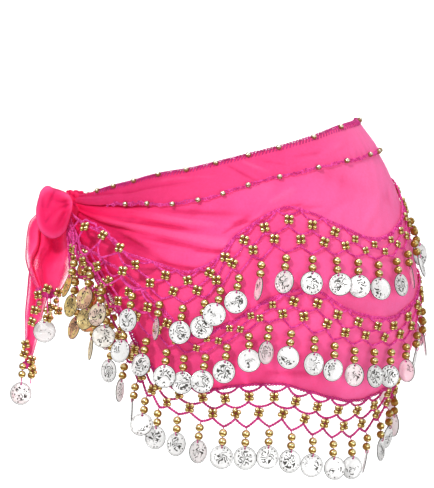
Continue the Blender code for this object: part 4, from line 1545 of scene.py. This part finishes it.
# Lumps of bunched cloth: function of the form, rows, columns, how pale the rim is.
KNOT_LUMPS = ((knot_point, 44, 64, 0.0), (ear_point, 28, 44, 0.0))
LOOP_LUMPS = ((loop_point, 72, 120, 1.0),)
lump_piece("tied_knot", KNOT_LUMPS, ["knot"])
lump_piece("loop_of_bow", LOOP_LUMPS, ["bow_loop"])
wide_tail = tail_piece(
    "wide_tail_cloth", WIDE_TAIL, WIDE_TAIL_FOLDS, rows=71, columns=101, seed=21, hem_share=0.03,
    replaced=["tail_wide"],
)
long_tail = tail_piece(
    "long_tail_cloth", LONG_TAIL, LONG_TAIL_FOLDS, rows=91, columns=51, seed=31, hem_share=0.07,
    replaced=["tail_long"],
)

# ---------------------------- lace, beads and coins
KNOT_SEED = 40
SWAY_SEED = 60
TURN_SEED = 70
COIN_SEED = 80
# Lace edgings: name, table, layer (0 lies nearest the cloth), look of the cords, radius of a ply
# and its distance from the cord's middle, CAD nodes.
LACES = (
    ("upper", UPPER_LACE, 2, cord_finish, 0.66, 0.6, ["lace_upper"]),
    ("middle", MIDDLE_LACE, 1, cord_finish, 0.66, 0.6, ["lace_middle"]),
    ("hem", HEM_LACE, 0, hem_cord_finish, 0.82, 0.7, ["lace_hem_front", "lace_hem_back", "fringe_hem"]),
)
for name, table, layer, cord_look, ply, spread, nodes in LACES:
    lace = Lace(table, layer, KNOT_SEED + layer)
    path, up = lace.cords()
    cords = twisted(Shape(), path, up, ply=ply, spread=spread)
    top_cord(cords, lace)

    middle, out, size, spin = lace.flowers()
    flowers = flower_beads(Shape(), middle, out, size, spin)

    root, down, out, across = string_places(lace)
    down, out, across = sway(down, out, across, SWAY_SEED + layer)
    for drop in STRING_BEAD_DROPS:
        centres = root + down * drop + out * STRING_STAND_OFF
        beads(flowers, centres, down, STRING_BEAD, squash=0.96, segments=4, facing=out)
    hanging_thread(cords, root, down, out, HOLE_DROP - THREAD_GAP, STRING_STAND_OFF)
    hole = root + down * HOLE_DROP + out * COIN_STAND_OFF
    turn = coin_turns(len(root), TURN_SEED + layer)
    silver = coins(Shape(), hole, down, out, across, turn, COIN_SEED + layer)
    rings(cords, hole - down * RING_RISE, down, out)

    finish_piece(name + "_lace_cords", cords, cord_look, nodes)
    finish_piece(name + "_lace_beads", flowers, gold_finish)
    finish_piece(name + "_lace_coins", silver, silver_finish)

# ---------------------------- stitching of the top band
# Wrap angles of the pearls on the fold and on the band's lower edge.
TOP_BEADS = (
    6, 12.5, 21, 31, 44, 57, 69, 82, 95, 113, 134, 169,
    186, 200, 216, 232, 248, 264, 279, 293, 307, 321, 335, 348,
)
BAND_BEADS = (
    31, 44, 56, 66, 75, 84, 96, 113, 129, 149, 164,
    180, 200, 220, 240, 258, 276, 294, 312, 330,
)
EDGE_BEAD = 2.75
# Rows of pearls: wrap angles, height of the line, rise over it, stand-off.
PEARL_ROWS = ((TOP_BEADS, fold_height, 0.4, 4.2), (BAND_BEADS, band_edge, -0.3, 3.4))
STITCH_SLANT = 1.4  # degrees of wrap that one stitch takes
STITCH_PITCH = 3.4
STITCH_RADIUS = 0.62
FOLD_STITCHED = (9, 351)  # wrap angles between which the fold is stitched
EDGE_STITCHED = (20, 340)
# A stitch over the fold: height over it, stand-off.
STITCH_OVER = (
    (-2.4, 2.6), (-1.2, 3.3), (0.8, 3.2), (2.6, 2.4),
    (3.3, 0.4), (2.0, -1.7), (-1.0, -2.2), (-3.2, -1.6),
)


def over_fold(angle):
    """The line along the band's fold."""
    return surface(angle, fold_height(angle) + 1.6, BAND_LINE_OFF)


def on_band_edge(angle):
    """The line along the band's lower edge, which wanders a little."""
    run = angle * MM_PER_DEGREE
    low = band_edge(angle) + 0.7 * drift(run, 0, 30, 15)
    return surface(angle, low + 0.8 * drift(run, 0, 7, 16), BAND_LINE_OFF)


def edge_chain(shape, line_at, start, end, across, step, looseness):
    """A crochet chain along the band, wider where it is worked more loosely."""
    angle = even_angles(line_at, start, end, 300, step)
    path = line_at(angle)
    up = cloth_normal(angle, path[:, 2])
    loose = 1.0 + looseness * (0.7 * drift(angle * MM_PER_DEGREE, 0, 11, 17) - 0.1)[:, None]
    return chain(shape, path[None], up[None], across=across * loose, bump=0.4, ply=0.52)


def whipstitch(shape, start, end, pitch):
    """Slanting stitches over the fold: each is a short tube whose height and stand-off follow a
    table, moved sideways evenly as it goes."""
    fine = np.linspace(start, end, 400)
    run = run_along(over_fold(fine))
    count = int(run[-1] / pitch)
    at = np.interp(np.arange(count) * pitch, run, fine)[:, None]
    over = np.asarray(STITCH_OVER)
    slant = STITCH_SLANT * np.linspace(-0.5, 0.5, len(over))[None, :]
    angle = at + slant
    height = fold_height(angle) + over[None, :, 0]
    path = surface(angle, height, over[None, :, 1] + 0 * angle)
    up = np.cross(np.gradient(path, axis=1), cloth_normal(at, fold_height(at)))
    return shape.add(*tubes(path, unit(up), STITCH_RADIUS))


small = Shape()
for places, height_at, rise, off in PEARL_ROWS:
    angle = np.asarray(places, float)
    high = height_at(angle)
    beads(small, surface(angle, high + rise, off), UP, EDGE_BEAD, facing=cloth_normal(angle, high))
finish_piece("edge_beads", small, pale_gold_finish)
stitches = Shape()
edge_chain(stitches, over_fold, *FOLD_STITCHED, across=1.0, step=1.0, looseness=0.0)
whipstitch(stitches, *FOLD_STITCHED, STITCH_PITCH)
finish_piece("edge_stitching", stitches, hem_cord_finish)
band_chain = Shape()
edge_chain(band_chain, on_band_edge, *EDGE_STITCHED, across=1.6, step=0.9, looseness=1.0)
finish_piece("band_edge_chain", band_chain, cord_finish)

# ---------------------------- bead ends of the tails
# Bead strings of the tails: root x, y and z, 1 where a coin hangs, turn in degrees.
WIDE_TAIL_STRINGS = (
    (-209.5, -5.0, -14.0, 0, 20),
    (-200.5, -12.0, -20.0, 1, -15),
    (-193.0, -5.0, -10.0, 0, 60),
)
LONG_TAIL_STRINGS = (
    (-219.5, 5.4, -85.3, 1, 10),
    (-210.5, 4.6, -85.3, 0, 50),
)
TAIL_LACE_DROP = 5.0
TAIL_LACE_PITCH = 9.0
TAIL_THREAD_OFF = 0.8
TAIL_HOLE_DROP = 23.0
TAIL_COIN_OFF = 1.6
TAIL_COIN_TURN = 0.25
TASSEL_END = 3.0  # thread below a tassel's last flower
TASSEL_THREAD_OFF = 0.6
TASSEL_SWAY = 0.12
TASSEL_FLOWER = 0.95  # size of its flowers
TASSEL_FLOWER_OFF = 1.2
TASSEL_SPIN = 0.4
# Threads of small flowers: tail, root, turn, the flowers' drops below the root, seed.
TASSELS = (
    ("wide", (-209.0, -9.0, -8.0), -25, (9.0, 25.0, 37.0), 101),
    ("wide", (-202.5, -13.0, -8.0), 15, (1.5, 31.0), 103),
    ("wide", (-197.5, -9.0, -8.0), -10, (20.0, 30.0), 105),
    ("wide", (-192.0, -8.0, -8.0), 30, (4.5, 23.0), 109),
    ("long", (-218.0, 1.0, -60.0), -10, (7.5, 17.0), 111),
    ("long", (-212.5, 2.0, -76.0), 12, (6.5, 17.5), 113),
)


def turned(angles):
    """Outward and sideways directions for angles in degrees from the front."""
    turn = np.radians(np.asarray(angles, float))
    out = np.stack([np.sin(turn), -np.cos(turn), 0 * turn], axis=-1)
    across = np.stack([np.cos(turn), np.sin(turn), 0 * turn], axis=-1)
    return out, across


def tassel(shape_cords, shape_gold, root, angle, drops, seed):
    """A short thread with a flower at each drop below its root."""
    root = np.asarray(root, float).reshape(1, 3)
    out, _ = turned([angle])
    down = unit(DOWN + TASSEL_SWAY * np.random.default_rng(seed).normal(size=(1, 3)))
    hanging_thread(shape_cords, root, down, out, max(drops) + TASSEL_END, TASSEL_THREAD_OFF)
    middle = root + down * np.asarray(drops)[:, None] + out * TASSEL_FLOWER_OFF
    spin = np.random.default_rng(seed + 1).uniform(-TASSEL_SPIN, TASSEL_SPIN, len(drops))
    facing = np.repeat(out, len(drops), axis=0)
    return flower_beads(shape_gold, middle, facing, np.full(len(drops), TASSEL_FLOWER), spin)


def tail_lace(shape, edge):
    """A narrow crochet edge under a tail: a chain, and two wavy threads that cross below it."""
    up = np.broadcast_to([0.0, -1.0, 0.0], edge.shape)
    chain(shape, edge[None], up[None], across=0.8, bump=0.4, ply=0.5)
    run = run_along(edge)
    for phase in (0.0, np.pi):
        sag = TAIL_LACE_DROP * (0.5 - 0.5 * np.cos(2 * np.pi * run / TAIL_LACE_PITCH + phase))
        line = edge + np.stack([0 * sag, 0.4 * np.sin(phase) - 0.1 * sag, -sag - 0.6], axis=-1)
        twisted(shape, line[None], up[None])
    return shape


# Ends of the tails: name, cloth, strings, drops of the beads, radius of a bead, length of the
# thread, seed of the coin.
TAIL_ENDS = (
    ("wide", wide_tail, WIDE_TAIL_STRINGS, (11.0, 18.0), 3.1, 22.0, 91),
    ("long", long_tail, LONG_TAIL_STRINGS, (4.6, 12.6), 3.9, 21.0, 94),
)
for side, (_, grid), strings, bead_drops, radius, length, coin_seed in TAIL_ENDS:
    threads = Shape()
    gilt = Shape()
    rows = np.asarray(strings)
    root = rows[:, :3]
    out, across = turned(rows[:, 4])
    down = np.broadcast_to(DOWN, root.shape)
    hanging_thread(threads, root, down, out, length, TAIL_THREAD_OFF)
    for drop in bead_drops:
        centres = root + down * drop + out * TAIL_THREAD_OFF
        beads(gilt, centres, down, radius, segments=4, facing=out)
    with_coin = rows[:, 3] > 0
    hole = (root + down * TAIL_HOLE_DROP + out * TAIL_COIN_OFF)[with_coin]
    down, out, across = (way[with_coin] for way in (down, out, across))
    rings(threads, hole - down * RING_RISE, down, out)
    turn = np.full(len(hole), TAIL_COIN_TURN)
    silver = coins(Shape(), hole, down, out, across, turn, coin_seed)
    for tail, top, angle, drops, seed in TASSELS:
        if tail == side:
            tassel(threads, gilt, top, angle, drops, seed)
    tail_lace(threads, grid[-1])
    name = side + "_tail"
    finish_piece(name + "_beads", gilt, gold_finish, ["fringe_" + name])
    finish_piece(name + "_threads", threads, cord_finish)
    finish_piece(name + "_coin", silver, silver_finish)

# ---------------------------- the cloth pieces' lengths across and down their grids
CUTS = (
    (cloth_front, "gathered", ["tied_knot"], ["upper_lace_cords", "middle_lace_cords"]),
    (cloth_back, "gathered", ["tied_knot"], ["hem_lace_cords"]),
    (band_front, "folded", ["cloth_front"], ["edge_stitching", "band_edge_chain"]),
    (band_back, "folded", ["cloth_back"], ["edge_beads"]),
    (wide_tail, "hung", ["tied_knot"], ["wide_tail_threads", "wide_tail_beads"]),
    (long_tail, "hung", ["tied_knot"], ["long_tail_threads", "long_tail_beads"]),
)
for (piece, grid), held, rests_on, with_pieces in CUTS:
    across = np.linalg.norm(np.diff(grid, axis=1), axis=-1).sum(axis=1).max() * MM
    down = np.linalg.norm(np.diff(grid, axis=0), axis=-1).sum(axis=0).max() * MM

# ---------------------------- floor, light and camera
FLOOR_DROP = 620.0
BACK_WALL = 5200.0
FLOOR_HALF_WIDTH = 8000.0
# The floor and the wall it curves up into: depth (y), height over the floor.
FLOOR_ROWS = (
    (-7000, 0), (-1000, 0), (4200, 0), (4550, 30), (4820, 120), (5050, 300),
    (5170, 550), (BACK_WALL, 900), (BACK_WALL, 2000), (BACK_WALL, 4000),
)
x = np.array([-FLOOR_HALF_WIDTH, 0.0, FLOOR_HALF_WIDTH])[None, :]
y, z = (np.asarray(FLOOR_ROWS, float)[:, column, None] for column in (0, 1))
floor_grid = np.stack(np.broadcast_arrays(x, y, z - FLOOR_DROP), axis=-1)
floor_quads = grid_quads(*floor_grid.shape[:2])[:, ::-1]
paper = plain_pale("pale_paper", PAPER, roughness=0.9)
ground = smooth_mesh("pale_floor", Shape().add(floor_grid, [floor_quads]), paper)
ground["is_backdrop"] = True


def placing(right, above, back, place):
    """The placing of a light or a camera from three directions and a place."""
    turn = np.eye(4)
    turn[:3] = np.stack([right, above, back, place], axis=1)
    return Matrix(turn.tolist())


def soft_light(name, place, target, size, power):
    """A square soft light turned towards a target."""
    lamp = bpy.data.lights.new(name, "AREA")
    lamp.shape = "SQUARE"
    lamp.size = size
    lamp.energy = power
    back = unit(np.asarray(place, float) - np.asarray(target, float))
    right = unit(np.cross(UP, back))
    put_in_scene(name, lamp).matrix_world = placing(right, np.cross(back, right), back, place)


# Soft lights: name, place, target and side in metres, power in watts.
LIGHTS = (
    ("key", (-1.3, -2.2, 1.7), (0, 0, 0), 0.4, 48),
    ("fill", (1.5, -2.2, -0.1), (0, 0, -0.05), 1.4, 21),
    ("above", (0.2, 0.4, 2.2), (0, 0, 0), 1.4, 18),
    ("wall_light", (0.0, 2.4, 2.6), (0, BACK_WALL * MM, 0.0), 2.0, 150),
)
for light in LIGHTS:
    soft_light(*light)
SKY_STRENGTH = 0.3
world = bpy.data.worlds.new("studio")
world.use_nodes = True
sky = world.node_tree.nodes["Background"].inputs
sky["Color"].default_value = (1.0, 1.0, 1.0, 1.0)
sky["Strength"].default_value = SKY_STRENGTH
bpy.context.scene.world = world
bpy.context.scene.view_settings.view_transform = "Standard"

# The camera: its place in metres, its roll in degrees, its film in millimetres, and the metres
# that the long side of the picture spans at the scarf's middle.
CAMERA_PLACE = (-0.0387, -2.5, 0.0522)
CAMERA_ROLL = 6.0
SENSOR = 36.0
LONG_SIDE = 0.488
CLIP_END = 50.0
roll = np.radians(CAMERA_ROLL)
right = (np.cos(roll), 0.0, np.sin(roll))
above = (-np.sin(roll), 0.0, np.cos(roll))
lens = bpy.data.cameras.new("camera")
lens.sensor_width = SENSOR
lens.lens = SENSOR * -CAMERA_PLACE[1] / LONG_SIDE
lens.clip_end = CLIP_END
camera = put_in_scene("camera", lens)
camera.matrix_world = placing(right, above, (0.0, -1.0, 0.0), CAMERA_PLACE)
bpy.context.scene.camera = camera

low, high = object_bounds()
